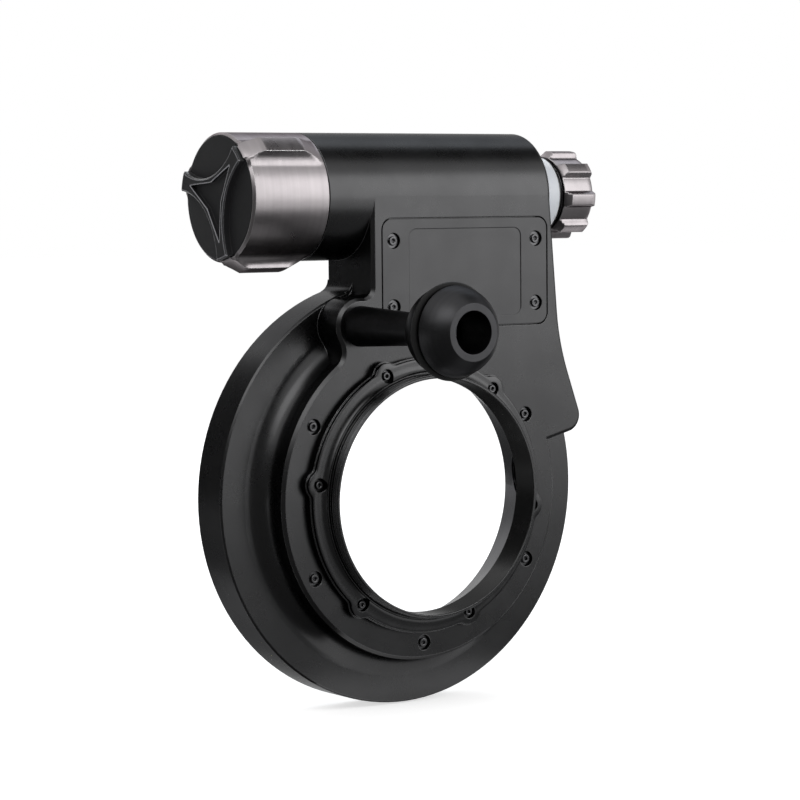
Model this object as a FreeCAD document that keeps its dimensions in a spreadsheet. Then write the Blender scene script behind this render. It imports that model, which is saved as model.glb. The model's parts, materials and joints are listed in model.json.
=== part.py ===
import FreeCAD, Part
import os
import re

import Sketcher

# Ring light for close-up photography.
# Frame: the lens axis is the Y axis, the rear face of the hub lies at Y = 0, +Y is the lit side,
# +X runs along the battery tube towards the knob and +Z is up.

SIZES = {
    # Ring head: radii about the lens axis, depths along Y
    "bore_radius": 33.9,
    "bore_front_radius": 37.85,
    "liner_front": 11.2,
    "liner_rear": 0.5,
    "liner_wall": 1.75,
    "liner_lip": 0.9,
    "liner_lip_step": 0.2,
    "flange_radius": 46.1,
    "flange_rear": 2.75,
    "rim_radius": 61.63,
    "rim_rear": 10.5,
    "rim_front": 23.44,
    "rim_wall": 2.7,
    "rim_bevel": 0.5,
    "hub_radius": 47.8,
    "hub_bevel": 0.9,
    "hub_round": 6.0,
    "hub_plate": 2.6,
    "fit_gap": 0.1,
    "slack": 0.05,
    # Cone shared by the window and the board behind it
    "cone_start": 39.0,
    "cone_slope": 0.5,
    "window_front": 11.6,
    "window_thick": 1.8,
    "lamp_room": 2.6,
    "board_thick": 1.6,
    "seal_width": 1.05,
    "bezel_width": 1.6,
    "bezel_thick": 2.4,
    "bezel_sink": 0.1,
    "lamp_size": 2.8,
    "lamp_height": 1.0,
    "lamp_row_inner": 44.0,
    "lamp_row_outer": 52.0,
    # Mount ring on the rear of the hub
    "ring_outer": 39.8,
    "ring_thick": 3.0,
    "ring_bevel": 0.4,
    "ring_undercut": 0.5,
    "spigot_wall": 1.2,
    "spigot_length": 8.1,
    "spigot_bevel": 0.2,
    "spigot_tongue": 0.4,
    "spigot_foot": 0.5,
    "spigot_foot_top": 4.3,
    "lobe_radius": 4.1,
    "ring_screw_circle": 37.6,
    "ring_screw_angle": 52.0,
    "ring_head_radius": 1.9,
    "ring_head_height": 1.6,
    "ring_head_sink": 0.2,
    "ring_shank_radius": 1.0,
    "ring_shank_length": 3.2,
    # Screws that hold the liner to the hub
    "hub_screw_inset": 3.2,
    "hub_screw_angle": 30.0,
    "hub_head_radius": 2.15,
    "hub_head_height": 1.5,
    "hub_head_sink": 0.15,
    "hub_shank_radius": 1.25,
    "hub_shank_length": 3.6,
    "thumb_angle": 6.5,
    "thumb_width": 11.0,
    "thumb_height": 3.5,
    "thumb_depth": 0.7,
    # Neck between the ring and the tube
    "neck_left": -16.75,
    "neck_edge": 1.2,
    "neck_front_round": 0.8,
    "neck_top_right": 46.9,
    "waist_across": 50.4,
    "waist_up": 42.2,
    "waist_round": 70.0,
    "flare_across": 59.4,
    "flare_up": 16.8,
    "flare_round": 5.0,
    "flare_foot_across": 46.6,
    "flare_foot_up": 13.6,
    # Battery tube
    "tube_radius": 18.3,
    "tube_up": 85.87,
    "tube_left": -30.8,
    "tube_right": 47.2,
    "tube_edge": 1.5,
    "cell_radius": 13.25,
    "cell_left": -34.0,
    "cell_right": 31.0,
    "cell_nub_radius": 5.0,
    "cell_nub": 0.7,
    "cell_room": 0.35,
    "contact_height": 0.5,
    "contact_radius": 4.0,
    "contact_board_thick": 1.6,
    "thread_gap": 0.1,
    "thread_room": 1.0,
    # Cover plate and the room under it
    "plate_left": -13.7,
    "plate_right": 45.6,
    "plate_low": 47.8,
    "plate_high": 79.7,
    "plate_round": 3.5,
    "plate_groove": 0.4,
    "plate_thick": 1.8,
    "label_left": -4.1,
    "label_right": 35.8,
    "label_low": 51.0,
    "label_high": 76.5,
    "label_round": 2.5,
    "label_depth": 0.2,
    "cover_screw_left": -9.5,
    "cover_screw_right": 41.2,
    "cover_screw_low": 54.25,
    "cover_screw_high": 73.15,
    "cover_head_radius": 2.15,
    "cover_head_height": 1.0,
    "cover_head_sink": 0.1,
    "cover_shank_radius": 1.2,
    "cover_shank_length": 4.5,
    "room_left": -6.5,
    "room_right": 38.2,
    "room_low": 51.5,
    "room_high": 69.8,
    "room_depth": 9.5,
    "room_round": 2.0,
    "gasket_width": 1.2,
    "gasket_thick": 0.9,
    "driver_rear": 4.0,
    "driver_thick": 1.2,
    "driver_margin": 0.6,
    "boss_radius": 2.2,
    "boss_left": -3.6,
    "boss_left_up": 60.65,
    "boss_right": 35.4,
    "boss_right_up": 54.4,
    "board_head_radius": 1.7,
    "board_head_height": 1.0,
    "board_shank_radius": 0.9,
    "board_shank_length": 4.4,
    "driver_part_pitch": 10.0,
    "wire_radius": 0.45,
    "wire_room": 0.45,
    "lamp_wire_across": 12.0,
    "lamp_wire_up": 54.5,
    "lamp_wire_pitch": 2.4,
    "rising_wire_up": 12.1,
    "knob_wire_across": 37.0,
    # Ball mount
    "ball_across": -20.84,
    "ball_up": 49.2,
    "ball_back": 44.13,
    "ball_radius": 12.7,
    "ball_end": 54.1,
    "stalk_radius": 4.3,
    "stalk_foot": 5.8,
    "stalk_lobe": 8.0,
    "lobe_round": 5.0,
    "neck_round": 3.0,
    "root_round": 3.5,
    "seal_outer": 13.5,
    "seal_wire": 0.9,
    "seal_room": 1.05,
    "ball_hole_radius": 5.9,
    "ball_head_radius": 5.0,
    "ball_head_height": 6.0,
    "ball_head_sink": 14.2,
    "ball_bolt_radius": 3.0,
    "ball_bolt_length": 40.0,
    "ball_head_bevel": 0.4,
    "ball_hex": 2.89,
    # Knob end of the tube
    "status_radius": 10.7,
    "status_thick": 1.0,
    "status_lamp": 1.6,
    "status_lamp_height": 0.8,
    "status_lamp_circle": 7.8,
    "glow_radius": 11.4,
    "glow_right": 55.7,
    "glow_hollow": 9.9,
    "glow_hollow_depth": 1.8,
    "glow_bore": 5.6,
    "collar_radius": 11.3,
    "collar_thick": 0.8,
    "collar_sleeve": 4.7,
    "collar_bevel": 0.2,
    "encoder_radius": 7.4,
    "encoder_left": 36.5,
    "encoder_body_length": 7.0,
    "encoder_neck_radius": 4.4,
    "encoder_neck_length": 10.5,
    "encoder_floor": 1.5,
    "rotor_radius": 3.0,
    "rotor_left": 38.2,
    "rotor_right": 56.0,
    "shaft_radius": 2.0,
    "shaft_left": 40.0,
    "running_gap": 0.08,
    "knob_radius": 13.2,
    "knob_left": 57.5,
    "knob_right": 68.2,
    "knob_floor": 11.5,
    "knob_bevel": 1.65,
    "knob_edge": 0.6,
    "knob_groove_floor_angle": 9.5,
    "knob_groove_mouth_angle": 16.0,
    "knob_grooves": 8,
    "knob_turned": 29.5,
    "knob_roof": 2.0,
    "disc_radius": 10.4,
    "disc_thick": 0.8,
    "disc_proud": 0.1,
    # Battery cap
    "cap_gap": 0.2,
    "cap_right": -19.0,
    "cap_left": -56.0,
    "cap_spigot_radius": 15.4,
    "cap_inner": 16.0,
    "cap_shoulder": 2.5,
    "cap_bevel": 0.7,
    "cap_lead_in": 0.4,
    "cap_seam_bevel": 0.2,
    "cap_groove_floor": 14.15,
    "cap_groove_width": 1.4,
    "cap_groove_first": -25.6,
    "cap_groove_pitch": 2.6,
    "cap_seal_wire": 0.6,
    "rib_radius": 21.4,
    "rib_right": -38.4,
    "rib_left": -51.5,
    "rib_end": -56.9,
    "rib_angle": 14.5,
    "rib_turned": 45.8,
    "end_disc_radius": 17.5,
    "end_plug_right": -42.0,
    "end_step": 2.5,
    "arm_top": -58.3,
    "arm_radius": 17.7,
    "leaf_radius": 21.2,
    "leaf_centre": 27.4,
    "arm_bevel": 0.45,
    "star_tip": 13.0,
    "star_waist": 4.4,
    "star_depth": 1.4,
    "cap_contact_radius": 12.0,
    "cap_contact_thick": 0.8,
    "cap_spring_radius": 5.0,
    "cap_spring_wall": 0.8,
    "cap_spring_gap": 0.3,
}

doc = FreeCAD.newDocument("macro_ring_light")
sheet = doc.addObject("Spreadsheet::Sheet", "sizes")
for row, (alias, size) in enumerate(SIZES.items(), start=1):
    sheet.set(f"A{row}", alias)
    sheet.set(f"B{row}", str(size))
    sheet.setAlias(f"B{row}", alias)
doc.recompute()

SUB_PARTS = []
AXIS_TURNS = {
    "X": FreeCAD.Rotation(FreeCAD.Vector(0, 1, 0), 90),
    "Y": FreeCAD.Rotation(FreeCAD.Vector(1, 0, 0), -90),
    "Z": FreeCAD.Rotation(),
}


def bound(text):
    """The expression with every name of the sheet written in full."""
    return re.sub(r"[a-z][a-z_]+", lambda m: f"sizes.{m[0]}" if m[0] in SIZES else m[0], str(text))


def number(text):
    """The present value of an expression in the sheet's names."""
    return float(sheet.evalExpression(str(text)))


def add(kind, name, **fields):
    """A document object whose fields are bound to expressions."""
    item = doc.addObject(kind, name)
    for field, text in fields.items():
        item.setExpression(field, bound(text))
    return item


def place(item, across="0", along="0", up="0", turn=None):
    """Put an object at bound coordinates, turned as given."""
    item.Placement = FreeCAD.Placement(FreeCAD.Vector(), turn or FreeCAD.Rotation())
    for axis, text in zip("xyz", (across, along, up)):
        item.setExpression(f"Placement.Base.{axis}", bound(text))
    return item


def keep(item, label):
    """Name an object as one of the sub-parts."""
    item.Label = label
    SUB_PARTS.append(item)
    return item


def plane_sketch(body, name, role):
    """A sketch on one of the body's own origin planes."""
    sketch = body.newObject("Sketcher::SketchObject", name)
    planes = {plane.Role: plane for plane in body.Origin.OriginFeatures}
    sketch.AttachmentSupport = [(planes[role], "")]
    sketch.MapMode = "FlatFace"
    return sketch


def outline(sketch, corners):
    """Closed outline of straight lines through corners given as pairs of expressions."""
    points = [FreeCAD.Vector(number(a), number(b), 0) for a, b in corners]
    count = len(points)
    for i in range(count):
        sketch.addGeometry(Part.LineSegment(points[i], points[(i + 1) % count]), False)
    for i in range(count):
        sketch.addConstraint(Sketcher.Constraint("Coincident", i, 2, (i + 1) % count, 1))
    for i, corner in enumerate(corners):
        for kind, text, value in zip("XY", corner, (points[i].x, points[i].y)):
            index = sketch.addConstraint(Sketcher.Constraint(f"Distance{kind}", -1, 1, i, 1, value))
            sketch.renameConstraint(index, f"{kind.lower()}{i}")
            sketch.setExpression(f"Constraints.{kind.lower()}{i}", bound(text))


def feature(body, kind, name, sketch, **fields):
    """A sketch-based feature of a body."""
    item = body.newObject(f"PartDesign::{kind}", name)
    item.Profile = sketch
    for field, text in fields.items():
        item.setExpression(field, bound(text))
    return item


def turned(name, corners, axis, angle="360"):
    """Body of revolution: corners are (radius, y) about Y, or (x, radius) about X."""
    body = doc.addObject("PartDesign::Body", name)
    sketch = plane_sketch(body, f"{name}_profile", "XY_Plane")
    outline(sketch, corners)
    spin = feature(body, "Revolution", f"{name}_turn", sketch, Angle=angle)
    spin.ReferenceAxis = (sketch, ["V_Axis" if axis == "Y" else "H_Axis"])
    spin.Midplane = angle != "360"
    doc.recompute()
    return body


def block(name, corners, rear, front):
    """Slab between two depths, with corners given as (x, z)."""
    body = doc.addObject("PartDesign::Body", name)
    sketch = plane_sketch(body, f"{name}_outline", "XZ_Plane")
    outline(sketch, corners)
    pad = feature(body, "Pad", f"{name}_pad", sketch, Length=f"({front}) - ({rear})")
    pad.Reversed = True
    place(body, along=rear)
    doc.recompute()
    return body


def edges_through(body, points):
    """Names of the body's edges that pass through the points, given in the body's own frame."""
    names = []
    for point in points:
        spot = Part.Vertex(FreeCAD.Vector(*[number(text) for text in point]))
        shape = body.Tip.Shape
        gaps = [edge.distToShape(spot)[0] for edge in shape.Edges]
        names.append(f"Edge{gaps.index(min(gaps)) + 1}")
    return names


def dress(body, kind, points, size):
    """Round or bevel the edges that pass through the points."""
    tip = body.Tip
    names = edges_through(body, points)
    item = body.newObject(f"PartDesign::{kind}", f"{body.Name}_{kind.lower()}")
    item.Base = (tip, names)
    item.setExpression("Radius" if kind == "Fillet" else "Size", bound(size))
    doc.recompute()
    return body


def rounded_block(name, left, right, low, high, rear, front, corner):
    """Slab with four rounded upright corners."""
    body = block(name, [(left, low), (right, low), (right, high), (left, high)], rear, front)
    middle = f"(({front}) - ({rear})) / 2"
    spots = [(x, middle, z) for x in (left, right) for z in (low, high)]
    return dress(body, "Fillet", spots, corner)


def rod(name, radius, length, axis, across="0", along="0", up="0"):
    """Cylinder that starts at a point and runs along an axis."""
    cylinder = add("Part::Cylinder", name, Radius=radius, Height=length)
    return place(cylinder, across, along, up, AXIS_TURNS[axis])


def fuse(name, items):
    joined = doc.addObject("Part::MultiFuse", name)
    joined.Shapes = items
    return joined


def cut(name, base, tools):
    """Base less each tool in turn."""
    for tool in tools:
        whole = doc.addObject("Part::Cut", name)
        whole.Base = base
        whole.Tool = tool
        base = whole
    return base


def group(name, items):
    """Several like solids kept as one sub-part."""
    bundle = doc.addObject("Part::Compound", name)
    bundle.Links = items
    return keep(bundle, name)


def cone(level, radius):
    """Depth of a layer of the shared cone at a radius."""
    return f"({level}) + cone_slope * (({radius}) - cone_start)"


def circle_spots(circle, first):
    """The six screw places on a circle, as (x, z) expressions."""
    return [(f"{circle} * cos({first} + {60 * k})", f"{circle} * sin({first} + {60 * k})") for k in range(6)]


RING_SPOTS = circle_spots("ring_screw_circle", "ring_screw_angle")
HUB_SPOTS = circle_spots("(flange_radius - hub_screw_inset)", "hub_screw_angle")
COVER_SPOTS = [(x, z) for x in ("cover_screw_left", "cover_screw_right")
               for z in ("cover_screw_low", "cover_screw_high")]
BOSS_SPOTS = [("boss_left", "boss_left_up"), ("boss_right", "boss_right_up")]


def rods(name, spots, radius, rear, front):
    """Cylinders along Y at the given places, as one object."""
    bundle = doc.addObject("Part::Compound", name)
    bundle.Links = [rod(f"{name}_{k}", radius, f"({front}) - ({rear})", "Y", x, rear, z)
                    for k, (x, z) in enumerate(spots)]
    return bundle


def screws(name, spots, prefix, rear):
    """Socket screws of one kind, heads to the rear, kept as one sub-part."""
    head, height = f"{prefix}_head_radius", f"{prefix}_head_height"
    shank, length = f"{prefix}_shank_radius", f"{prefix}_shank_length"
    blank = turned(f"{name}_blank", [
        ("0", "0"), (f"{head} * 0.9", "0"), (head, f"{head} * 0.1"), (head, height), (shank, height),
        (shank, f"{height} + {length}"), ("0", f"{height} + {length}")], "Y")
    socket = add("Part::Prism", f"{name}_socket", Circumradius=f"{head} * 0.55", Height=f"{height} * 0.6")
    place(socket, turn=AXIS_TURNS["Y"])
    pattern = cut(f"{name}_pattern", blank, [socket])
    copies = []
    for k, (x, z) in enumerate(spots):
        copy = doc.addObject("App::Link", f"{name}_{k}")
        copy.LinkedObject = pattern
        copies.append(place(copy, x, rear, z))
    return group(name, copies)


BOARD_FRONT = "window_front - window_thick - lamp_room"
BOARD_BACK = f"{BOARD_FRONT} - board_thick"
WINDOW_BACK = "window_front - window_thick"
LINER_OUTER = "bore_radius + slack + liner_wall"
HOUSING_BORE = f"{LINER_OUTER} + fit_gap"
CHANNEL_OUTER = "rim_radius - rim_wall"
LIP_OUTER = "bore_front_radius + liner_lip"
CELL_BORE = "cell_radius + cell_room"
BATTERY_END = "cell_right + contact_height + contact_board_thick"
THREAD_BORE = "cap_spigot_radius + thread_gap"
ENCODER_BORE = "encoder_radius + fit_gap"
DRIVER_FRONT = "driver_rear + driver_thick"
LEAD_START = f"{DRIVER_FRONT} + wire_radius"
LEAD_UP = "room_low + rising_wire_up"
BOLT_TIP = "(-ball_end + ball_head_sink + ball_head_height + ball_bolt_length)"


def lead_reach(stop):
    """Length of a rising lead from the driver board to a radius about the tube's axis."""
    rise, run = f"(tube_up - ({LEAD_UP}))", f"(tube_radius - ({LEAD_START}))"
    return f"sqrt({rise} ^ 2 + {run} ^ 2) - ({stop})"


def rising_rod(name, radius, across, stop):
    """Rod from the driver board's front face that aims at the tube's axis."""
    aim = FreeCAD.Vector(0, number(f"tube_radius - ({LEAD_START})"), number(f"tube_up - ({LEAD_UP})"))
    turn = FreeCAD.Rotation(FreeCAD.Vector(0, 0, 1), aim)
    piece = add("Part::Cylinder", name, Radius=radius, Height=lead_reach(stop))
    return place(piece, across, LEAD_START, LEAD_UP, turn)


def room_block(name, grow, rear, front, corner):
    """Slab with the outline of the room under the plate, grown on every side."""
    return rounded_block(name, f"room_left - ({grow})", f"room_right + ({grow})", f"room_low - ({grow})",
                         f"room_high + ({grow})", rear, front, corner)


def blend(name, corners, centre, radius):
    """Upright web with a hollow side, opened out at the rear by the same bevel as the walls beside it."""
    web = block(f"{name}_web", corners, "0", "rim_front / 2")
    hollow = turned(f"{name}_hollow", [
        ("0", "-hub_bevel"), (f"{radius} + 2 * hub_bevel", "-hub_bevel"), (radius, "hub_bevel"),
        (radius, "rim_front"), ("0", "rim_front")], "Y")
    place(hollow, centre[0], "0", centre[1])
    return cut(name, web, [hollow])


def toward(start, stop, share):
    """The place a share of the way from one pair of expressions to another."""
    return tuple(f"({a}) + (({b}) - ({a})) * {share}" for a, b in zip(start, stop))


def lobe_blends():
    """Webs from the lobe under the ball stalk to the hub's wall and to the neck's left side."""
    reach = "sqrt(ball_across ^ 2 + ball_up ^ 2)"
    far = "(hub_radius + lobe_round)"
    turn = f"acos(({far} ^ 2 + {reach} ^ 2 - (stalk_lobe + lobe_round) ^ 2) / (2 * {far} * {reach}))"
    heading = f"(90 deg - atan(ball_across / ball_up) + {turn})"
    centre = (f"{far} * cos{heading}", f"{far} * sin{heading}")
    on_hub = (f"hub_radius * cos{heading}", f"hub_radius * sin{heading}")
    in_hub = toward(("0", "0"), on_hub, "(hub_radius - 2 * hub_bevel) / hub_radius")
    lobe = ("ball_across", "ball_up")
    on_lobe = toward(lobe, centre, "stalk_lobe / (stalk_lobe + lobe_round)")
    low = blend("hub_blend", [lobe, toward(("0", "0"), lobe, "0.85"), in_hub, on_hub, centre, on_lobe],
                centre, "lobe_round")
    gap = "(neck_left - neck_round - ball_across)"
    rise = f"sqrt((stalk_lobe + neck_round) ^ 2 - {gap} ^ 2)"
    centre = ("neck_left - neck_round", f"ball_up + {rise}")
    on_lobe = toward(lobe, centre, "stalk_lobe / (stalk_lobe + neck_round)")
    in_neck = "neck_left + 2 * hub_bevel"
    high = blend("neck_blend", [lobe, on_lobe, centre, ("neck_left", centre[1]), (in_neck, centre[1]),
                                (in_neck, "ball_up")], centre, "neck_round")
    across = "neck_left - root_round"
    centre = (across, f"sqrt((rim_radius + root_round) ^ 2 - ({across}) ^ 2)")
    on_rim = toward(("0", "0"), centre, "rim_radius / (rim_radius + root_round)")
    inside = (in_neck, "rim_radius * 0.9")
    web = block("root_web", [inside, on_rim, centre, ("neck_left", centre[1]), (in_neck, centre[1])],
                "rim_rear", "rim_front")
    hollow = rod("root_hollow", "root_round", "rim_front", "Y", centre[0], "rim_rear - 1", centre[1])
    return [low, high, cut("root_blend", web, [hollow])]


def cylinder_corners(left, right, outer, inner="0"):
    return [(left, inner), (left, outer), (right, outer), (right, inner)]


def housing_shell():
    """Outside of the housing before anything is cut out of it."""
    ring = turned("ring_blank", [
        ("0", "0"), ("hub_radius", "0"), ("hub_radius", "rim_rear"), ("rim_radius", "rim_rear"),
        ("rim_radius", "rim_front"), ("0", "rim_front")], "Y")
    dress(ring, "Fillet", [("0", "rim_rear", "hub_radius")], "hub_round")
    dress(ring, "Chamfer", [("0", "0", "hub_radius")], "hub_bevel")
    dress(ring, "Chamfer", [("0", "rim_rear", "rim_radius"), ("0", "rim_front", "rim_radius")], "rim_bevel")
    neck = block("neck_blank", [
        ("neck_left", "hub_radius * 0.8"), ("flare_foot_across * 0.8", "flare_foot_up"),
        ("flare_foot_across", "flare_foot_up"), ("flare_across", "flare_up"), ("waist_across", "waist_up"),
        ("neck_top_right", "tube_up"), ("neck_left", "tube_up")], "0", "rim_front")
    middle = "rim_front / 2"
    dress(neck, "Fillet", [("waist_across", middle, "waist_up")], "waist_round")
    dress(neck, "Fillet", [("flare_across", middle, "flare_up")], "flare_round")
    waist_side = ("(waist_across + neck_top_right) / 2", "(waist_up + tube_up) / 2")
    sides = [("neck_left", "tube_up * 0.8"), waist_side]
    dress(neck, "Fillet", [(x, "rim_front", z) for x, z in sides], "neck_front_round")
    dress(neck, "Chamfer", [("neck_left", "0", "tube_up * 0.8")], "hub_bevel")
    dress(neck, "Fillet", [(waist_side[0], "0", waist_side[1])], "neck_edge")
    tube = turned("tube_blank", cylinder_corners("tube_left", "tube_right", "tube_radius"), "X")
    dress(tube, "Fillet", [("tube_right", "0", "tube_radius")], "tube_edge")
    place(tube, along="tube_radius", up="tube_up")
    lobe = turned("stalk_lobe_blank", [
        ("0", "0"), ("stalk_lobe - hub_bevel", "0"), ("stalk_lobe", "hub_bevel"),
        ("stalk_lobe", "rim_front / 2"), ("0", "rim_front / 2")], "Y")
    place(lobe, "ball_across", "0", "ball_up")
    return fuse("housing_shell", [ring, neck, tube, lobe] + lobe_blends())


def housing():
    hollow = turned("ring_hollow", [("0", "-1"), (HOUSING_BORE, "-1"), (HOUSING_BORE, "hub_plate"),
                                    ("flange_radius + fit_gap", "hub_plate"),
                                    ("flange_radius + fit_gap", cone(BOARD_BACK, "flange_radius + fit_gap")),
                                    (CHANNEL_OUTER, cone(BOARD_BACK, CHANNEL_OUTER)),
                                    (CHANNEL_OUTER, "rim_front + 10"), ("0", "rim_front + 10")], "Y")
    axis = {"along": "tube_radius", "up": "tube_up"}
    tools = [
        hollow,
        rod("cell_bore", CELL_BORE, f"{BATTERY_END} - tube_left + 1", "X", "tube_left - 1", **axis),
        rod("thread_bore", THREAD_BORE, "cap_right + thread_room - tube_left + 1", "X",
            "tube_left - 1", **axis),
        rod("encoder_bore", ENCODER_BORE, "tube_right - encoder_left + fit_gap + 1", "X",
            "encoder_left - fit_gap", **axis),
        rod("status_recess", "status_radius + fit_gap", "status_thick + 1", "X",
            "tube_right - status_thick", **axis),
        rod("glow_seat", "glow_radius + cap_gap", "glow_right - tube_right", "X", "tube_right", **axis),
        rounded_block("plate_pocket", "plate_left", "plate_right", "plate_low", "plate_high",
                      "-1", "plate_thick", "plate_round"),
        cut("gasket_groove", room_block("gasket_groove_outer", "gasket_width + 2 * slack", "plate_thick - 0.1",
                                        "plate_thick + gasket_thick", "room_round + gasket_width"),
            [room_block("gasket_groove_inner", "0", "plate_thick - 1", "room_depth", "room_round")]),
        cut("driver_room",
            room_block("driver_room_block", "0", "plate_thick - 0.1", "room_depth", "room_round"),
            [rods("driver_boss", BOSS_SPOTS, "boss_radius", DRIVER_FRONT, "room_depth + 1")]),
        rod("lamp_wire_hole", "lamp_wire_pitch", "rim_front", "Y", "lamp_wire_across", "room_depth - 0.5",
            "lamp_wire_up"),
        rising_rod("cell_wire_hole", "wire_radius + wire_room", f"{BATTERY_END} - contact_board_thick / 2",
                   f"{CELL_BORE} - 1"),
        rising_rod("knob_wire_hole", "wire_radius + wire_room", "knob_wire_across",
                   f"{ENCODER_BORE} - 1"),
    ]
    tools += [
        rods("hub_screw_seat", HUB_SPOTS, "hub_head_radius + fit_gap", "-1",
             "hub_head_height + hub_head_sink"),
        rods("hub_screw_hole", HUB_SPOTS, "hub_shank_radius + slack", "-1", "hub_plate + 1"),
        rods("ring_screw_hole", RING_SPOTS, "ring_shank_radius + slack", "-1", "hub_plate + 1"),
        rods("cover_screw_hole", COVER_SPOTS, "cover_shank_radius + slack", "0",
             "cover_head_height + cover_head_sink + cover_shank_length + fit_gap"),
        rods("board_screw_hole", BOSS_SPOTS, "board_shank_radius + slack", "0",
             "driver_rear + board_shank_length + fit_gap"),
        rod("ball_bolt_hole", "ball_bolt_radius + slack", f"{BOLT_TIP} + fit_gap + 1", "Y",
            "ball_across", "-1", "ball_up"),
    ]
    return keep(cut("housing_cut", housing_shell(), tools), "housing")


def bore_liner():
    shape = turned("liner_blank", [
        ("bore_radius + slack", "liner_rear"), ("bore_front_radius", "liner_front"),
        (LIP_OUTER, "liner_front + liner_lip_step"), (LIP_OUTER, cone(BOARD_BACK, LIP_OUTER)),
        ("flange_radius", cone(BOARD_BACK, "flange_radius")), ("flange_radius", "flange_rear"),
        (LINER_OUTER, "flange_rear"), (LINER_OUTER, "liner_rear")], "Y")
    slope = "(bore_front_radius - bore_radius - slack) / (liner_front - liner_rear)"
    reach = turned("thumb_limit", [
        ("0", "liner_rear - 1"), (f"bore_radius + slack + thumb_depth - {slope}", "liner_rear - 1"),
        ("bore_front_radius + thumb_depth", "liner_front"), ("0", "liner_front")], "Y")
    curve = "((thumb_width / 2) ^ 2 + thumb_height ^ 2) / (2 * thumb_height)"
    disc = add("Part::Cylinder", "thumb_disc", Radius=curve, Height="bore_front_radius + 5")
    heading = FreeCAD.Rotation(FreeCAD.Vector(0, 1, 0), 90 - number("thumb_angle"))
    place(disc, along=f"liner_rear + thumb_height - {curve}", turn=heading)
    thumb = doc.addObject("Part::MultiCommon", "thumb_scallop")
    thumb.Shapes = [disc, reach]
    drilled = rods("liner_hole", HUB_SPOTS, "hub_shank_radius + slack", "flange_rear - 1",
                   "hub_head_sink + hub_head_height + hub_shank_length + fit_gap")
    return keep(cut("liner_cut", shape, [thumb, drilled]), "bore_liner")


def front_pieces():
    """Window, its ring and seals, and the board: layers of the shared cone."""
    inner = f"{LIP_OUTER} + fit_gap"
    outer = f"{CHANNEL_OUTER} - fit_gap"

    def layer(name, start, stop, back, front):
        corners = [(start, cone(back, start)), (stop, cone(back, stop)),
                   (stop, cone(front, stop)), (start, cone(front, start))]
        return keep(turned(f"{name}_body", corners, "Y"), name)

    layer("front_window", inner, outer, WINDOW_BACK, "window_front")
    layer("window_inner_seal", inner, f"{inner} + seal_width", BOARD_BACK, WINDOW_BACK)
    layer("window_outer_seal", f"{outer} - seal_width", outer, BOARD_BACK, WINDOW_BACK)
    layer("led_board", f"{inner} + seal_width + fit_gap", f"{outer} - seal_width - fit_gap",
          BOARD_BACK, BOARD_FRONT)
    keep(turned("bezel_body", [
        (f"{outer} - bezel_width", cone("window_front", f"{outer} - bezel_width")),
        (outer, cone("window_front", outer)), (outer, "rim_front - bezel_sink"),
        (f"{outer} - bezel_width / 2", "rim_front - bezel_sink"),
        (f"{outer} - bezel_width", "rim_front - bezel_thick / 2")], "Y"), "bezel_ring")


def lamps(name, rows, count, first):
    """Light-emitting chips of one colour, every other place of each row."""
    chips = []
    tilt = FreeCAD.Rotation(FreeCAD.Vector(0, 0, 1), number("atan(cone_slope)"))
    for row in rows:
        for k in range(count):
            heading = FreeCAD.Rotation(FreeCAD.Vector(0, 1, 0), -(k + first) * 360 / count)
            spot = heading.multVec(FreeCAD.Vector(number(row), number(cone(BOARD_FRONT, row)), 0))
            seat = FreeCAD.Placement(spot, heading.multiply(tilt))
            centre = FreeCAD.Vector(-number("lamp_size / 2"), number("slack"), -number("lamp_size / 2"))
            chip = add("Part::Box", f"{name}_chip", Length="lamp_size", Width="lamp_height",
                       Height="lamp_size")
            chip.Placement = seat.multiply(FreeCAD.Placement(centre, FreeCAD.Rotation()))
            chips.append(chip)
    return group(name, chips)


def mount_ring():
    spigot = "bore_radius + spigot_wall"
    foot = f"{spigot} + spigot_foot"
    ring = turned("mount_ring_blank", [
        ("bore_radius", "spigot_tongue"), ("bore_radius", "-spigot_length + spigot_bevel"),
        ("bore_radius + spigot_bevel", "-spigot_length"), (f"{spigot} - spigot_bevel", "-spigot_length"),
        (spigot, "-spigot_length + spigot_bevel"), (spigot, "-spigot_foot_top"), (foot, "-spigot_foot_top"),
        (foot, "-ring_thick"), ("ring_outer - ring_bevel", "-ring_thick"),
        ("ring_outer", "-ring_thick + ring_bevel"), ("ring_outer", "-ring_undercut * 2"),
        ("ring_outer - ring_undercut", "-ring_undercut * 1.6"),
        ("ring_outer - ring_undercut", "0"), (f"{spigot} - fit_gap", "0"),
        (f"{spigot} - fit_gap", "spigot_tongue")], "Y")
    whole = fuse("mount_ring_whole", [ring, rods("lobe", RING_SPOTS, "lobe_radius", "-ring_thick", "0")])
    depth = "-ring_thick + ring_head_height + ring_head_sink"
    tools = [
        rods("ring_seat", RING_SPOTS, "ring_head_radius + fit_gap", "-ring_thick - 1", depth),
        rods("ring_hole", RING_SPOTS, "ring_shank_radius + slack", "-ring_thick - 1", "1"),
        rod("spigot_clear", "bore_radius", "spigot_length + 5", "Y", "0", "-spigot_length - 1", "0"),
    ]
    return keep(cut("mount_ring_cut", whole, tools), "mount_ring")


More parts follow.
